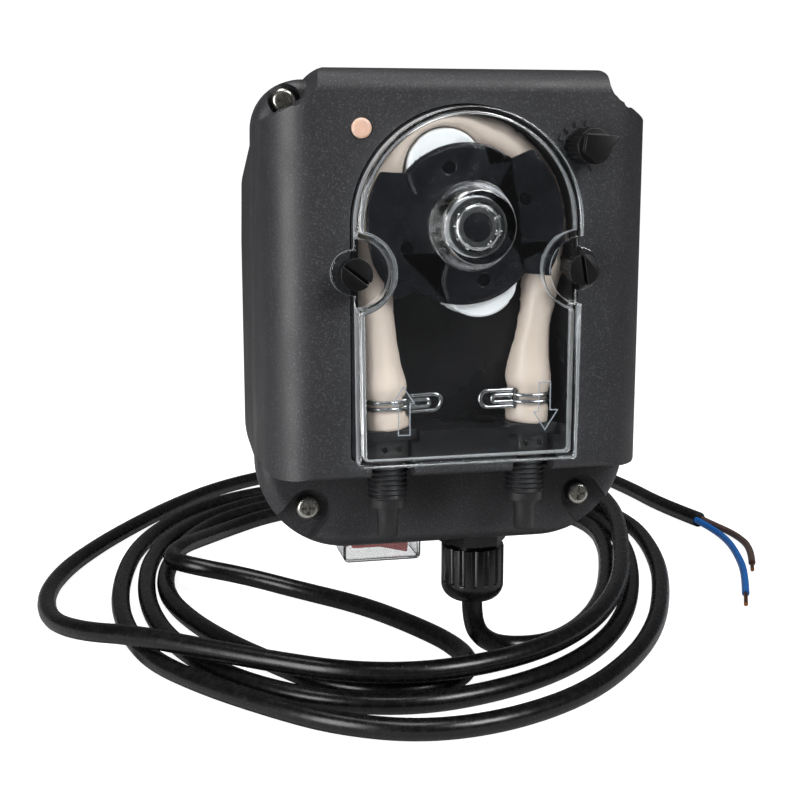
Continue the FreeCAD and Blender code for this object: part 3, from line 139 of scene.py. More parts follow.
along = np.concatenate([np.linspace(-0.2, 1.6, 15), 1.6 + 0.5 * np.sin(np.linspace(0.1, math.pi / 2, 10)),
                        np.full(5, 2.1)])
rise = np.concatenate([np.zeros(15), 0.5 - 0.5 * np.cos(np.linspace(0.1, math.pi / 2, 10)),
                       np.linspace(0.7, 2.4, 5)])
across = np.linspace(-2.0, 2.0, 5)
sweep_points = np.stack([np.broadcast_to(across[None, :], (30, 5)), np.broadcast_to(along[:, None], (30, 5)),
                         np.broadcast_to((ground + rise)[:, None], (30, 5))], -1)
sweep = placed("studio_sweep", grid_mesh("studio_sweep", sweep_points[:, ::-1]), sweep_paper)

world = bpy.data.worlds.new("pale_surround")
bpy.context.scene.world = world
world.use_nodes = True
tree = world.node_tree
tree.nodes.clear()
seen = seen_in_picture(tree)
white = add_node(tree, "ShaderNodeBackground", None, {"Color": linear("#ffffff"), "Strength": 1.0})
dim = add_node(tree, "ShaderNodeBackground", None, {"Color": linear("#f2f4f8"), "Strength": 0.06})
mixed = add_node(tree, "ShaderNodeMixShader", None,
                 {0: seen.outputs[0], 1: dim.outputs[0], 2: white.outputs[0]})
add_node(tree, "ShaderNodeOutputWorld", None, {"Surface": mixed.outputs[0]})


def soft_box(name, place, target, width, height, watts):
    """A rectangular area lamp that faces a point."""
    lamp = bpy.data.lights.new(name, "AREA")
    lamp.shape = "RECTANGLE"
    lamp.size = width
    lamp.size_y = height
    lamp.energy = watts
    thing = bpy.data.objects.new(name, lamp)
    thing.location = place
    thing.rotation_euler = (Vector(target) - Vector(place)).to_track_quat("-Z", "Y").to_euler()
    bpy.context.scene.collection.objects.link(thing)


soft_box("soft_box_left", (-0.6, -0.42, 0.0), (0.0, -0.08, -0.01), 0.3, 0.7, 4.6)
soft_box("soft_box_upper_right", (0.55, -0.75, 0.65), (0.0, -0.08, 0.0), 0.45, 0.45, 8.0)
soft_box("soft_box_overhead", (-0.15, -0.12, 0.95), (0.0, -0.05, 0.0), 0.8, 0.4, 5.0)

# Mains cord.
# Three metres of round two-core lead with a black PVC sheath, 6 mm thick. It leaves the gland,
# bends over onto the floor and lies there in loose uneven turns, and its far end is stripped.
sheath, tree = empty_material("black_pvc_sheath")
spot = add_node(tree, "ShaderNodeTexCoord")
dust = add_node(tree, "ShaderNodeTexNoise", None,
                {"Vector": spot.outputs["Object"], "Scale": 420.0, "Detail": 4.0, "Roughness": 0.65})
scuff = add_node(tree, "ShaderNodeValToRGB", None, {"Fac": dust.outputs["Fac"]})
scuff.color_ramp.elements[0].position = 0.42
scuff.color_ramp.elements[0].color = linear("#0b0b0c")
scuff.color_ramp.elements[1].position = 0.72
scuff.color_ramp.elements[1].color = linear("#19191b")
gloss = add_node(tree, "ShaderNodeMapRange", None,
                 {"Value": dust.outputs["Fac"], "To Min": 0.2, "To Max": 0.34})
dents = add_node(tree, "ShaderNodeTexNoise", None,
                 {"Vector": spot.outputs["Object"], "Scale": 160.0, "Detail": 2.0})
bump = add_node(tree, "ShaderNodeBump", None,
                {"Height": dents.outputs["Fac"], "Strength": 0.25, "Distance": 0.0004})
skin = add_node(tree, "ShaderNodeBsdfPrincipled", None,
                {"Base Color": scuff.outputs["Color"], "Roughness": gloss.outputs["Result"],
                 "Normal": bump.outputs["Normal"], "IOR": 1.53})
add_node(tree, "ShaderNodeOutputMaterial", None, {"Surface": skin.outputs[0]})

cord_radius = 0.003
core_radius = 0.0013
gland_mouth = (0.0138, -0.041, -0.086)
cord_heights = (ground + cord_radius, ground + cord_radius + 0.0033, ground + cord_radius + 0.0066)
cord_lead = [gland_mouth, (0.0138, -0.041, -0.0925), (0.0171, -0.0387, -0.0994), (0.0258, -0.033, -0.105)]
cord_flat = [
    (39, -34, 0), (52, -24, 0), (64, -8, 0), (74, 10, 0), (84, 34, 0), (93, 60, 0), (98, 86, 0), (93, 110, 0),
    (78, 128, 0), (54, 139, 0), (26, 143, 0), (0, 141, 0), (-24, 132, 0), (-43, 114, 0), (-54, 92, 1),
    (-63, 72, 2), (-69, 57, 2), (-60, 46, 2), (-44, 43, 1), (-26, 33, 0), (-9, 14, 0), (3, -7, 0),
    (12, -28, 0), (13, -46, 0), (2, -59, 0), (-16, -60.6, 0), (-31, -51, 0), (-42, -34, 0), (-54.5, -12.5, 0),
    (-64, 10, 0), (-70, 34, 0), (-70, 58, 0), (-65, 84, 0), (-56, 110, 0), (-40, 133, 0), (-16, 149, 0),
    (14, 155, 0), (46, 153, 0), (75, 142, 0), (96, 121, 0), (105, 95, 0), (102, 68, 0), (95, 41, 0),
    (85, 14, 0), (73, -12, 0), (57, -36, 0), (38, -54, 0), (16, -65.5, 0), (-8, -70.6, 0), (-30, -64.6, 0),
    (-47, -52, 0), (-61, -33, 0), (-71, -8, 0), (-76, 18, 0), (-77, 46, 0), (-74.5, 76, 0), (-67, 104, 0),
    (-50, 132, 0), (-28, 153, 0), (2, 164, 0), (36, 165, 0), (68, 158, 0), (95, 140, 0), (110, 115, 0),
    (114, 88, 0), (110, 60, 0), (102, 30, 0), (91, 2, 0), (78, -25, 0), (61, -50, 0), (38, -73, 0),
    (12, -86, 0), (-12, -88, 0), (-33, -78, 0), (-49, -62, 0), (-65, -43, 0), (-78, -22, 0), (-84, 4, 0),
    (-86, 32, 0), (-84, 62, 0), (-79, 92, 0), (-69, 120, 0), (-54, 145, 0), (-31, 165, 0), (0, 176, 0),
    (36, 178, 0), (68, 171, 0), (88, 158, 1), (102, 140, 2), (110, 116, 2), (107, 90, 2), (99, 62, 2),
    (89, 34, 2), (79, 8, 2), (67, -15, 2), (53, -35, 2), (36, -51, 2), (16, -61, 2), (-6, -65, 2),
    (-27, -60, 2), (-46, -47, 2), (-64, -33, 2), (-82, -18, 2), (-98, -2, 1), (-108, 20, 0), (-110, 46, 0),
    (-104, 74, 0), (-92, 102, 0), (-78, 128, 0), (-62, 154, 0), (-42, 180, 0), (-16, 200, 0), (16, 212, 0),
    (50, 216, 0), (84, 210, 0), (112, 194, 0), (130, 170, 0), (135, 141, 0), (137, 113, 0), (143, 88, 0),
]
cord_route = cord_lead + [(x / 1000.0, y / 1000.0, cord_heights[layer]) for x, y, layer in cord_flat]


def lead_curve(name, route, radius, material):
    """A round lead along one smooth NURBS line through its route."""
    curve = bpy.data.curves.new(name, "CURVE")
    curve.dimensions = "3D"
    curve.bevel_depth = radius
    curve.bevel_resolution = 6
    curve.use_fill_caps = True
    spline = curve.splines.new("NURBS")
    spline.points.add(len(route) - 1)
    spline.points.foreach_set("co", np.array([(x, y, z, 1.0) for x, y, z in route]).ravel())
    spline.order_u = 3
    spline.use_endpoint_u = True
    spline.resolution_u = 8
    return placed(name, curve, material)


mains_lead = lead_curve("mains_lead", cord_route, cord_radius, sheath)
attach(mains_lead, "housing")
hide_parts("mains_cord")

# The two cores.
# Brown and blue PVC insulation on fine copper strands, stripped at the tips. They come out of
# the cut sheath side by side and drop apart onto the floor.
end = np.array(cord_route[-1])
way = end - np.array(cord_route[-2])
way = way / np.linalg.norm(way)
side = np.array((-way[1], way[0], 0.0))
for colour, code, patch, shift, flat in (
        ("brown", "#5d4a43", "#49372f", 0.00145, [(150.5, 70), (148, 52), (140, 35)]),
        ("blue", "#1c6fc4", "#175ba6", -0.00145, [(144.5, 66), (139.5, 46), (132, 24), (122, 3)])):
    insulation, tree = empty_material(colour + "_pvc_insulation")
    spot = add_node(tree, "ShaderNodeTexCoord")
    cloud = add_node(tree, "ShaderNodeTexNoise", None,
                     {"Vector": spot.outputs["Object"], "Scale": 300.0, "Detail": 3.0})
    tone = add_node(tree, "ShaderNodeMix", {"data_type": "RGBA"},
                    {"Factor": cloud.outputs["Fac"], 6: linear(code), 7: linear(patch)})
    skin = add_node(tree, "ShaderNodeBsdfPrincipled", None,
                    {"Base Color": tone.outputs[2], "Roughness": 0.38, "IOR": 1.53})
    add_node(tree, "ShaderNodeOutputMaterial", None, {"Surface": skin.outputs[0]})
    first = end + side * shift + way * 0.0001
    second = first + way * 0.006 - np.array((0.0, 0.0, 0.0004))
    core_route = [tuple(first), tuple(second)] + [(x / 1000.0, y / 1000.0, ground + core_radius) for x,
                                                  y in flat]
    core = lead_curve(colour + "_core", core_route, core_radius, insulation)
    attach(core, "housing")
    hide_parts("cord_core_" + colour)

# Bare copper ends.
# A few millimetres of fine stranded copper stand out of each core, twisted together by hand.
copper, tree = empty_material("twisted_copper_strands")
spot = add_node(tree, "ShaderNodeTexCoord")
strands = add_node(tree, "ShaderNodeTexNoise", None,
                   {"Vector": spot.outputs["Object"], "Scale": 1400.0, "Detail": 2.0})
tone = add_node(tree, "ShaderNodeMix", {"data_type": "RGBA"},
                {"Factor": strands.outputs["Fac"], 6: linear("#b87a4a"), 7: linear("#7d4f2c")})
bump = add_node(tree, "ShaderNodeBump", None,
                {"Height": strands.outputs["Fac"], "Strength": 0.6, "Distance": 0.0002})
skin = add_node(tree, "ShaderNodeBsdfPrincipled", None,
                {"Base Color": tone.outputs[2], "Metallic": 1.0, "Roughness": 0.34,
                 "Normal": bump.outputs["Normal"]})
add_node(tree, "ShaderNodeOutputMaterial", None, {"Surface": skin.outputs[0]})


def give_finish(material, *nodes):
    """Gives CAD nodes their finish."""
    for node in nodes:
        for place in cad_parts[node].material_slots:
            place.material = material


give_finish(copper, "cord_copper_ends")


# Case: front shell, rear case and wall bracket.
# Injection-moulded black ABS. The mould is spark-eroded, which leaves a fine grain that scatters small glints;
# the glints are painted as lighter flecks in the colour, and grain of 0.3 mm is drawn at 0.42 mm so that it
# shows. Two M3 screws a side close it.
def moulded_plastic(name, body, glint_colour, roughness, grain_mm, depth_mm, glint=0.58):
    """Black or coloured moulded plastic: painted glints as lighter flecks by a fine noise, gloss by a broad
    one, grain as bump.
    """
    material, tree = empty_material(name)
    spot = add_node(tree, "ShaderNodeTexCoord")
    grain = add_node(tree, "ShaderNodeTexNoise", None,
                     {"Vector": spot.outputs["Object"], "Scale": 1000.0 / grain_mm, "Detail": 2.0,
                      "Roughness": 0.6})
    broad = add_node(tree, "ShaderNodeTexNoise", None,
                     {"Vector": spot.outputs["Object"], "Scale": 60.0, "Detail": 3.0})
    # Lighter flecks where the fine grain noise is high: painted glints of the grain.
    painted_glints = add_node(tree, "ShaderNodeValToRGB", None, {"Fac": grain.outputs["Fac"]})
    painted_glints.color_ramp.elements[0].position = glint
    painted_glints.color_ramp.elements[0].color = linear(body)
    painted_glints.color_ramp.elements[1].position = glint + 0.16
    painted_glints.color_ramp.elements[1].color = linear(glint_colour)
    gloss = add_node(tree, "ShaderNodeMapRange", None,
                     {"Value": broad.outputs["Fac"], "From Min": 0.3, "From Max": 0.7,
                      "To Min": roughness - 0.05, "To Max": roughness + 0.07})
    bump = add_node(tree, "ShaderNodeBump", None,
                    {"Height": grain.outputs["Fac"], "Strength": 0.5, "Distance": depth_mm / 1000.0})
    skin = add_node(tree, "ShaderNodeBsdfPrincipled", None,
                    {"Base Color": painted_glints.outputs["Color"], "Roughness": gloss.outputs["Result"],
                     "Normal": bump.outputs["Normal"], "IOR": 1.53})
    add_node(tree, "ShaderNodeOutputMaterial", None, {"Surface": skin.outputs[0]})
    return material


grained_abs = moulded_plastic("spark_eroded_black_abs", "#2c2c2e", "#4d4e52", 0.46, 0.42, 0.08, 0.54)
give_finish(grained_abs, "front_shell")
rear_abs = moulded_plastic("fine_grained_black_abs", "#29292b", "#3c3c40", 0.5, 0.4, 0.06)
give_finish(rear_abs, "rear_case", "wall_bracket")

# Case gasket and cord seal.
# Moulded grey rubber, a hair's breadth of it showing as a pale line round the seam.
soft_rubber = moulded_plastic("moulded_grey_rubber", "#5d5f62", "#6d6f72", 0.62, 0.8, 0.03)
give_finish(soft_rubber, "case_gasket", "gland_seal")


# Casing screws and the other plated steel.
# Nickel-plated cross-head screws, turned pins, bearing rings and a pressed gearbox. Turning and
# pressing leave faint marks a tenth of a millimetre apart, drawn at a quarter.
def plated_metal(name, light, dark, roughness, mark_mm, depth_mm=0.02):
    """Plated or turned metal with faint marks, a little darker in the hollows of the marks."""
    material, tree = empty_material(name)
    spot = add_node(tree, "ShaderNodeTexCoord")
    stretch = add_node(tree, "ShaderNodeMapping", None,
                       {"Vector": spot.outputs["Object"], "Scale": (1.0, 4.0, 1.0)})
    marks = add_node(tree, "ShaderNodeTexNoise", None,
                     {"Vector": stretch.outputs["Vector"], "Scale": 1000.0 / mark_mm / 4.0, "Detail": 3.0})
    tone = add_node(tree, "ShaderNodeMix", {"data_type": "RGBA"},
                    {"Factor": marks.outputs["Fac"], 6: linear(light), 7: linear(dark)})
    gloss = add_node(tree, "ShaderNodeMapRange", None,
                     {"Value": marks.outputs["Fac"], "To Min": roughness - 0.06, "To Max": roughness + 0.1})
    bump = add_node(tree, "ShaderNodeBump", None,
                    {"Height": marks.outputs["Fac"], "Strength": 0.3, "Distance": depth_mm / 1000.0})
    skin = add_node(tree, "ShaderNodeBsdfPrincipled", None,
                    {"Base Color": tone.outputs[2], "Metallic": 1.0, "Roughness": gloss.outputs["Result"],
                     "Normal": bump.outputs["Normal"]})
    add_node(tree, "ShaderNodeOutputMaterial", None, {"Surface": skin.outputs[0]})
    return material


nickel = plated_metal("nickel_plated_steel", "#d8d6cf", "#a9a69d", 0.26, 0.25)
give_finish(nickel, "casing_screws", "drive_shaft", "idler_pin", "knob_spindle", "switch_pin")
pressed_zinc = plated_metal("zinc_plated_sheet_steel", "#c3c6c8", "#9a9da0", 0.36, 0.5)
give_finish(pressed_zinc, "gearbox_front", "gearbox_case", "motor_can")

# Motor and gears.
# A small brushed motor with varnished copper windings drives natural nylon gears through a
# machined brass pinion.
windings = plated_metal("varnished_copper_windings", "#b0683a", "#7c4423", 0.4, 0.4, 0.1)
give_finish(windings, "motor_armature")
brass = plated_metal("machined_brass", "#d2b064", "#a98a45", 0.28, 0.3)
give_finish(brass, "motor_pinion")
nylon = moulded_plastic("natural_nylon", "#ddd7c4", "#e8e3d3", 0.42, 1.0, 0.02)
give_finish(nylon, "output_gear", "idler_gear")

# Control board.
# Glass-cloth laminate under green solder mask, with its parts in one block each.
board_green = moulded_plastic("green_solder_mask", "#1d5a35", "#2f7a4b", 0.35, 0.7, 0.02)
give_finish(board_green, "circuit_board")

# Pump head cup and hose connectors.
# Smooth black polypropylene, moulded with a polished tool, so it is glossier than the case.
smooth_black = moulded_plastic("smooth_black_polypropylene", "#131315", "#222326", 0.3, 1.6, 0.05)
give_finish(smooth_black, "pump_head_cup")


weld_distance = 1e-6
flat_within = math.radians(0.6)


def rounded_copy(node, name, radius, material, body="housing", corner=40.0):
    """A CAD node's triangles welded and its flat faces made whole, then each sharp edge rounded by an arc."""
    work = bmesh.new()
    work.from_mesh(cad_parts[node].data)
    bmesh.ops.remove_doubles(work, verts=work.verts, dist=weld_distance)
    bmesh.ops.dissolve_limit(work, angle_limit=flat_within, verts=work.verts, edges=work.edges)
    mesh = bpy.data.meshes.new(name)
    work.to_mesh(mesh)
    work.free()
    mesh.polygons.foreach_set("use_smooth", np.ones(len(mesh.polygons), bool))
    thing = placed(name, mesh, material)
    bevel = thing.modifiers.new("rounded_edges", "BEVEL")
    bevel.width = radius
    bevel.segments = 3
    bevel.limit_method = "ANGLE"
    bevel.angle_limit = math.radians(corner)
    bevel.use_clamp_overlap = False
    bevel.harden_normals = True
    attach(thing, body)
    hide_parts(node)
    return thing


connector_black = moulded_plastic("black_connector_polypropylene", "#1b1b1d", "#313236", 0.4, 0.6, 0.06)
rounded_copy("inlet_connector", "inlet_moulding", 0.00015, connector_black)
rounded_copy("outlet_connector", "outlet_moulding", 0.00015, connector_black)

# Pump tube.
# Extruded beige thermoplastic rubber, 9.6 mm over a 6.4 mm bore. It is forced over a barb at each
# foot, nipped in by the clips, and pressed flat between the upper roller and the round track.
beige_rubber, tree = empty_material("extruded_beige_rubber")
spot = add_node(tree, "ShaderNodeTexCoord")
mottle = add_node(tree, "ShaderNodeTexNoise", None,
                  {"Vector": spot.outputs["Object"], "Scale": 110.0, "Detail": 4.0})
tone = add_node(tree, "ShaderNodeMix", {"data_type": "RGBA"},
                {"Factor": mottle.outputs["Fac"], 6: linear("#d6c8bd"), 7: linear("#c3b3a7")})
gloss = add_node(tree, "ShaderNodeMapRange", None,
                 {"Value": mottle.outputs["Fac"], "To Min": 0.3, "To Max": 0.46})
bump = add_node(tree, "ShaderNodeBump", None,
                {"Height": mottle.outputs["Fac"], "Strength": 0.4, "Distance": 0.0005})
skin = add_node(tree, "ShaderNodeBsdfPrincipled", None,
                {"Base Color": tone.outputs[2], "Roughness": gloss.outputs["Result"],
                 "Normal": bump.outputs["Normal"], "IOR": 1.5, "Subsurface Weight": 0.15,
                 "Subsurface Radius": (0.003, 0.002, 0.0015)})
add_node(tree, "ShaderNodeOutputMaterial", None, {"Surface": skin.outputs[0]})

hub_height = 0.024
tube_depth = -0.0751
tube_radius = 0.0047
track_radius = 0.0272
track_clearance = 0.0001
roller_orbit = 0.0145
roller_radius = 0.0095
roller_shadow = 0.68
leg_foot = 0.0183
foot_drop = -0.051
orbit = track_radius - tube_radius - track_clearance
lean = math.acos(orbit / math.hypot(leg_foot, foot_drop))
touch = math.atan2(foot_drop, leg_foot) + lean
roller_turn = math.radians(108.0)
leg_length = math.sqrt(math.hypot(leg_foot, foot_drop) ** 2 - orbit ** 2)


def squeezed_tube(leg_rings=60, arc_rings=120, around=32):
    """The tube's skin: rings along leg, arc and leg. A ring is an ellipse, stiffened towards a box where
    it is squeezed; its thickness is the gap between roller and track, and its outer side stays on the track."""
    down = np.linspace(0.0, 1.0, leg_rings)
    rises = down * leg_length
    stations = [0.0, 0.0035, 0.0045, 0.0052, 0.0075, 0.0086, 0.0100, 0.0118, 0.0160, 0.0215, leg_length]
    radii = [0.0054, 0.0055, 0.0052, 0.0049, 0.0049, 0.0053, 0.00575, 0.00575, 0.0050, 0.0047, 0.0047]
    fine = np.linspace(0.0, leg_length, 1200)
    rough = np.interp(fine, stations, radii)
    kernel = np.hanning(41) / np.hanning(41).sum()
    smooth = np.convolve(np.pad(rough, 20, mode="edge"), kernel, mode="valid")
    leg_radius = np.interp(rises, fine, smooth)
    turn = np.linspace(touch, math.pi - touch, arc_rings)
    across = np.arctan2(np.sin(turn - roller_turn), np.cos(turn - roller_turn))
    swing = np.clip(np.abs(across), 0.0, roller_shadow)
    reach = roller_orbit * np.cos(swing) + np.sqrt(roller_radius ** 2 - (roller_orbit * np.sin(swing)) ** 2)
    gap = track_radius - track_clearance - reach - track_clearance
    full = 2 * tube_radius
    mixing = 0.0012
    widening = 0.565
    boxiness = 0.45
    thick = -mixing * np.log(np.exp(-gap / mixing) + np.exp(-full / mixing))
    thick = np.minimum(thick, full)
    half = np.concatenate([leg_radius, thick / 2, leg_radius[::-1]])
    wide = np.concatenate([leg_radius, tube_radius + widening * (tube_radius - thick / 2), leg_radius[::-1]])
    right_out = np.array((math.cos(touch), math.sin(touch)))
    left_out = np.array((-right_out[0], right_out[1]))
    foot_right = np.array((leg_foot, foot_drop))
    foot_left = np.array((-leg_foot, foot_drop))
    top_right = orbit * right_out
    top_left = orbit * left_out
    mid_arc = (track_radius - track_clearance - thick / 2)[:,
                                                           None] * np.stack([np.cos(turn), np.sin(turn)],
                                                                            -1)
    middles = np.concatenate([foot_right + down[:, None] * (top_right - foot_right), mid_arc,
                              (foot_left + down[:, None] * (top_left - foot_left))[::-1]])
    outward = np.concatenate([np.broadcast_to(right_out, (leg_rings, 2)),
                              np.stack([np.cos(turn), np.sin(turn)], -1),
                              np.broadcast_to(left_out, (leg_rings, 2))])
    u = np.linspace(0.0, 2 * math.pi, around, endpoint=False)
    stiff = 1.0 - boxiness * np.clip((tube_radius - half) / tube_radius, 0.0, 1.0)[:, None]
    cosine = np.sign(np.cos(u)) * np.abs(np.cos(u)) ** stiff
    sine = np.sign(np.sin(u)) * np.abs(np.sin(u)) ** stiff
    x = middles[:, :1] + half[:, None] * cosine * outward[:, :1]
    z = middles[:, 1:] + half[:, None] * cosine * outward[:, 1:]
    y = tube_depth + wide[:, None] * sine
    return np.stack([x, y, hub_height + z], -1)


tube_skin = placed("tube_skin", grid_mesh("tube_skin", squeezed_tube(), closed_v=True, caps=True),
                   beige_rubber)
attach(tube_skin, "housing")
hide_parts("pump_tube")

# Tube clips.
# Bright zinc-plated spring wire, 1.1 mm thick, bent twice round the tube with its looped ears
# towards the middle of the head.
bright_wire = plated_metal("bright_zinc_spring_wire", "#dcdee0", "#b4b8bd", 0.16, 0.6, 0.01)
give_finish(bright_wire, "tube_clip_left", "tube_clip_right")

# Rotor and its pins.
# Glossy black acetal plates, greasy from the tube, with a raised band over the rollers, on two
# blackened steel axles and two guide pins. The gloss is uneven where grease lies on it.
acetal, tree = empty_material("glossy_black_acetal")
spot = add_node(tree, "ShaderNodeTexCoord")
grease = add_node(tree, "ShaderNodeTexNoise", None,
                  {"Vector": spot.outputs["Object"], "Scale": 230.0, "Detail": 5.0, "Roughness": 0.7})
waves = add_node(tree, "ShaderNodeTexNoise", None,
                 {"Vector": spot.outputs["Object"], "Scale": 60.0, "Detail": 2.0})
tone = add_node(tree, "ShaderNodeMix", {"data_type": "RGBA"},
                {"Factor": grease.outputs["Fac"], 6: linear("#0a0b0e"), 7: linear("#14161b")})
gloss = add_node(tree, "ShaderNodeMapRange", None,
                 {"Value": grease.outputs["Fac"], "From Min": 0.35, "From Max": 0.65, "To Min": 0.1,
                  "To Max": 0.3})
bump = add_node(tree, "ShaderNodeBump", None,
                {"Height": waves.outputs["Fac"], "Strength": 0.35, "Distance": 0.0004})
skin = add_node(tree, "ShaderNodeBsdfPrincipled", None,
                {"Base Color": tone.outputs[2], "Roughness": gloss.outputs["Result"],
                 "Normal": bump.outputs["Normal"], "IOR": 1.48})
add_node(tree, "ShaderNodeOutputMaterial", None, {"Surface": skin.outputs[0]})
give_finish(acetal, "rotor_back_plate")


def corner_points(thing):
    """The corner points of a piece's mesh, one row each."""
    flat = np.zeros(len(thing.data.vertices) * 3)
    thing.data.vertices.foreach_get("co", flat)
    return flat.reshape(-1, 3)


rotor = rounded_copy("rotor_carrier", "rotor_moulding", 0.0004, acetal, "rotor")
band_face = -0.0828
band_raise = 0.0006
same_plane = 0.00001
spots = corner_points(rotor)
spots[np.abs(spots[:, 1] - band_face) < same_plane, 1] -= band_raise
rotor.data.vertices.foreach_set("co", spots.ravel())
black_steel = plated_metal("blackened_steel", "#26272b", "#141518", 0.3, 0.4)
give_finish(black_steel, "roller_axles", "guide_pins")

# Rollers.
# Turned white acetal, smooth and slightly translucent at the rounded ends.
white_acetal, tree = empty_material("white_acetal")
spot = add_node(tree, "ShaderNodeTexCoord")
turned = add_node(tree, "ShaderNodeTexNoise", None,
                  {"Vector": spot.outputs["Object"], "Scale": 300.0, "Detail": 3.0})
tone = add_node(tree, "ShaderNodeMix", {"data_type": "RGBA"},
                {"Factor": turned.outputs["Fac"], 6: linear("#eef0f2"), 7: linear("#dfe2e5")})
gloss = add_node(tree, "ShaderNodeMapRange", None,
                 {"Value": turned.outputs["Fac"], "To Min": 0.22, "To Max": 0.36})
skin = add_node(tree, "ShaderNodeBsdfPrincipled", None,
                {"Base Color": tone.outputs[2], "Roughness": gloss.outputs["Result"], "IOR": 1.48,
                 "Subsurface Weight": 0.2, "Subsurface Radius": (0.002, 0.002, 0.002)})
add_node(tree, "ShaderNodeOutputMaterial", None, {"Surface": skin.outputs[0]})
give_finish(white_acetal, "roller_upper", "roller_lower")

# Front ball bearing.
# Ground and polished bearing steel, bright behind the clear boss.
bearing_steel = plated_metal("polished_bearing_steel", "#e6e7e6", "#c4c6c8", 0.14, 0.5, 0.005)
give_finish(bearing_steel, "bearing_outer_race", "bearing_inner_race", "bearing_balls")

# Clear cover.
# One piece of clear moulded polycarbonate, 1.6 mm thick, with polished walls and fine handling scratches. Lamp
# light passes straight through it, and a wall seen edge-on gets a painted pale sheen: a white diffuse layer
# mixed in by viewing angle.
clear_plastic, tree = empty_material("clear_polycarbonate")
spot = add_node(tree, "ShaderNodeTexCoord")
smears = add_node(tree, "ShaderNodeTexNoise", None,
                  {"Vector": spot.outputs["Object"], "Scale": 90.0, "Detail": 4.0})
gloss = add_node(tree, "ShaderNodeMapRange", None,
                 {"Value": smears.outputs["Fac"], "From Min": 0.4, "From Max": 0.8, "To Min": 0.01,
                  "To Max": 0.07})
bump = add_node(tree, "ShaderNodeBump", None,
                {"Height": smears.outputs["Fac"], "Strength": 0.15, "Distance": 0.0003})
skin = add_node(tree, "ShaderNodeBsdfPrincipled", None,
                {"Base Color": linear("#fbfcfc"), "Roughness": gloss.outputs["Result"],
                 "Normal": bump.outputs["Normal"], "IOR": 1.58, "Transmission Weight": 1.0})
# A white diffuse layer mixed in where a wall is seen edge-on: a painted sheen.
glance = add_node(tree, "ShaderNodeLayerWeight", None, {"Blend": 0.5})
edge_on = add_node(tree, "ShaderNodeMapRange", None,
                   {"Value": glance.outputs["Facing"], "From Min": 0.55, "From Max": 0.95, "To Max": 0.45})
painted_edge_sheen = add_node(tree, "ShaderNodeBsdfDiffuse", None, {"Color": linear("#e9edf2")})
walls = add_node(tree, "ShaderNodeMixShader", None,
                 {0: edge_on.outputs["Result"], 1: skin.outputs[0], 2: painted_edge_sheen.outputs[0]})
rays = add_node(tree, "ShaderNodeLightPath")
clear = add_node(tree, "ShaderNodeBsdfTransparent", None, {"Color": linear("#f3f5f5")})
lit = add_node(tree, "ShaderNodeMixShader", None,
               {0: rays.outputs["Is Shadow Ray"], 1: walls.outputs[0], 2: clear.outputs[0]})
add_node(tree, "ShaderNodeOutputMaterial", None, {"Surface": lit.outputs[0]})
give_finish(clear_plastic, "switch_cap")
rounded_copy("head_cover", "clear_cover_moulding", 0.00045, clear_plastic)

# Flow arrows on the cover.
# Two thin raised outlines moulded with the cover's face: up over the inlet leg on the left and
# down over the outlet leg on the right.
arrow_rib = 0.00014
arrow_height = 0.0002
arrow_lift = 0.00001


def raised_outline(name, corners, depth):
    """A thin ridge along a closed outline: each corner's mitre carries a flat-topped section."""
    line = np.array(corners) / 1000.0
    ahead = np.roll(line, -1, 0) - line
    ahead = ahead / np.linalg.norm(ahead, axis=1, keepdims=True)
    behind = np.roll(ahead, 1, 0)
    normal_a = np.stack([ahead[:, 1], -ahead[:, 0]], -1)
    normal_b = np.stack([behind[:, 1], -behind[:, 0]], -1)
    mitre = normal_a + normal_b
    mitre = mitre / (mitre * normal_a).sum(1, keepdims=True)
    offsets = np.array((-arrow_rib, -arrow_rib * 0.6, arrow_rib * 0.6, arrow_rib))
    heights = np.array((0.0, -1.0, -1.0, 0.0)) * arrow_height
    x = line[:, :1] + mitre[:, :1] * offsets
    z = line[:, 1:] + mitre[:, 1:] * offsets
    y = np.broadcast_to(depth + heights, x.shape)
    mesh = grid_mesh(name, np.stack([x, y, hub_height + z], -1), closed_u=True, closed_v=True)
    mesh.polygons.foreach_set("use_smooth", np.zeros(len(mesh.polygons), bool))
    return mesh


cover_face = -0.0890
left_arrow = [(-17.2, -38.7), (-19.9, -43.3), (-18.4, -43.2), (-18.4, -50.8), (-15.5, -50.8),
              (-15.5, -43.0), (-14.4, -43.0)]
right_arrow = [(17.4, -38.8), (20.35, -38.8), (20.35, -45.9), (22.3, -46.0), (19.1, -50.9), (16.2, -46.3),
               (17.4, -46.1)]
frosted_ridge = moulded_plastic("frosted_moulded_ridge", "#9aa3ab", "#c3cad0", 0.25, 1.0, 0.02)
for name, corners in (("flow_arrow_up", left_arrow), ("flow_arrow_down", right_arrow)):
    arrow = placed(name, raised_outline(name, corners, cover_face - arrow_lift), frosted_ridge)
    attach(arrow, "housing")

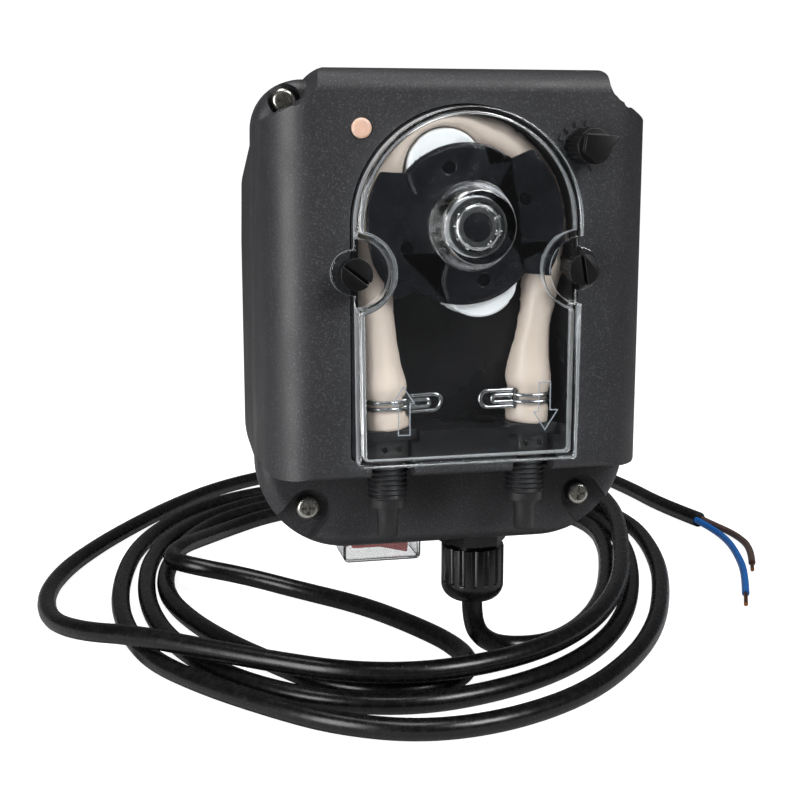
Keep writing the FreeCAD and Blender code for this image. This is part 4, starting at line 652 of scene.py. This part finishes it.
# Thumb screws and speed knob.
# Glass-filled black nylon, moulded with ribs, dulled and scuffed on the edges by fingers.
black_nylon = moulded_plastic("black_moulded_nylon", "#0d0d0e", "#1d1d20", 0.34, 0.6, 0.03, 0.6)
give_finish(black_nylon, "potentiometer")
rounded_copy("speed_knob", "speed_knob_moulding", 0.00012, black_nylon, "knob")
rounded_copy("thumb_screw_left", "left_screw_moulding", 0.00012, black_nylon,
             "left_thumb_screw")
rounded_copy("thumb_screw_right", "right_screw_moulding", 0.00012, black_nylon,
             "right_thumb_screw")

# Signal lamp.
# A small dome of frosted peach-coloured polystyrene with a dark diode behind it.
lamp_lens, tree = empty_material("frosted_peach_polystyrene")
spot = add_node(tree, "ShaderNodeTexCoord")
frost = add_node(tree, "ShaderNodeTexNoise", None,
                 {"Vector": spot.outputs["Object"], "Scale": 500.0, "Detail": 2.0})
# Paler towards the rim, where the dome turns away from view: a painted sheen.
painted_rim_sheen = add_node(tree, "ShaderNodeLayerWeight", None, {"Blend": 0.35})
tone = add_node(tree, "ShaderNodeMix", {"data_type": "RGBA"},
                {"Factor": painted_rim_sheen.outputs["Facing"], 6: linear("#ecc5b0"), 7: linear("#ffe3c4")})
gloss = add_node(tree, "ShaderNodeMapRange", None,
                 {"Value": frost.outputs["Fac"], "To Min": 0.2, "To Max": 0.34})
skin = add_node(tree, "ShaderNodeBsdfPrincipled", None,
                {"Base Color": tone.outputs[2], "Roughness": gloss.outputs["Result"], "IOR": 1.59,
                 "Subsurface Weight": 0.4, "Subsurface Radius": (0.002, 0.0015, 0.001)})
add_node(tree, "ShaderNodeOutputMaterial", None, {"Surface": skin.outputs[0]})
give_finish(lamp_lens, "signal_lamp")

# Power switch.
# A red rocker of tinted polycarbonate in a black nylon frame, under a clear splash cap.
rocker_red = moulded_plastic("tinted_red_polycarbonate", "#a5241f", "#c0352c", 0.25, 1.0, 0.02)
rocker = rounded_copy("switch_rocker", "rocker_moulding", 0.0002, rocker_red, "rocker")
# Its underside hangs lower than the plain solid's, as the photograph shows it through the cap.
bezel_bottom = -0.0638
rocker_reach = 0.0024
spots = corner_points(rocker)
spots[spots[:, 2] < bezel_bottom, 2] -= rocker_reach
rocker.data.vertices.foreach_set("co", spots.ravel())
give_finish(black_nylon, "switch_frame")

# Cable gland.
# Black nylon hexagon, locknut and ribbed clamping nut that screws down on the rubber seal.
gland_nylon = moulded_plastic("satin_black_nylon", "#0c0c0e", "#17181b", 0.26, 0.9, 0.03)
give_finish(gland_nylon, "gland_body", "gland_locknut")
rounded_copy("gland_nut", "gland_nut_moulding", 0.00015, gland_nylon)
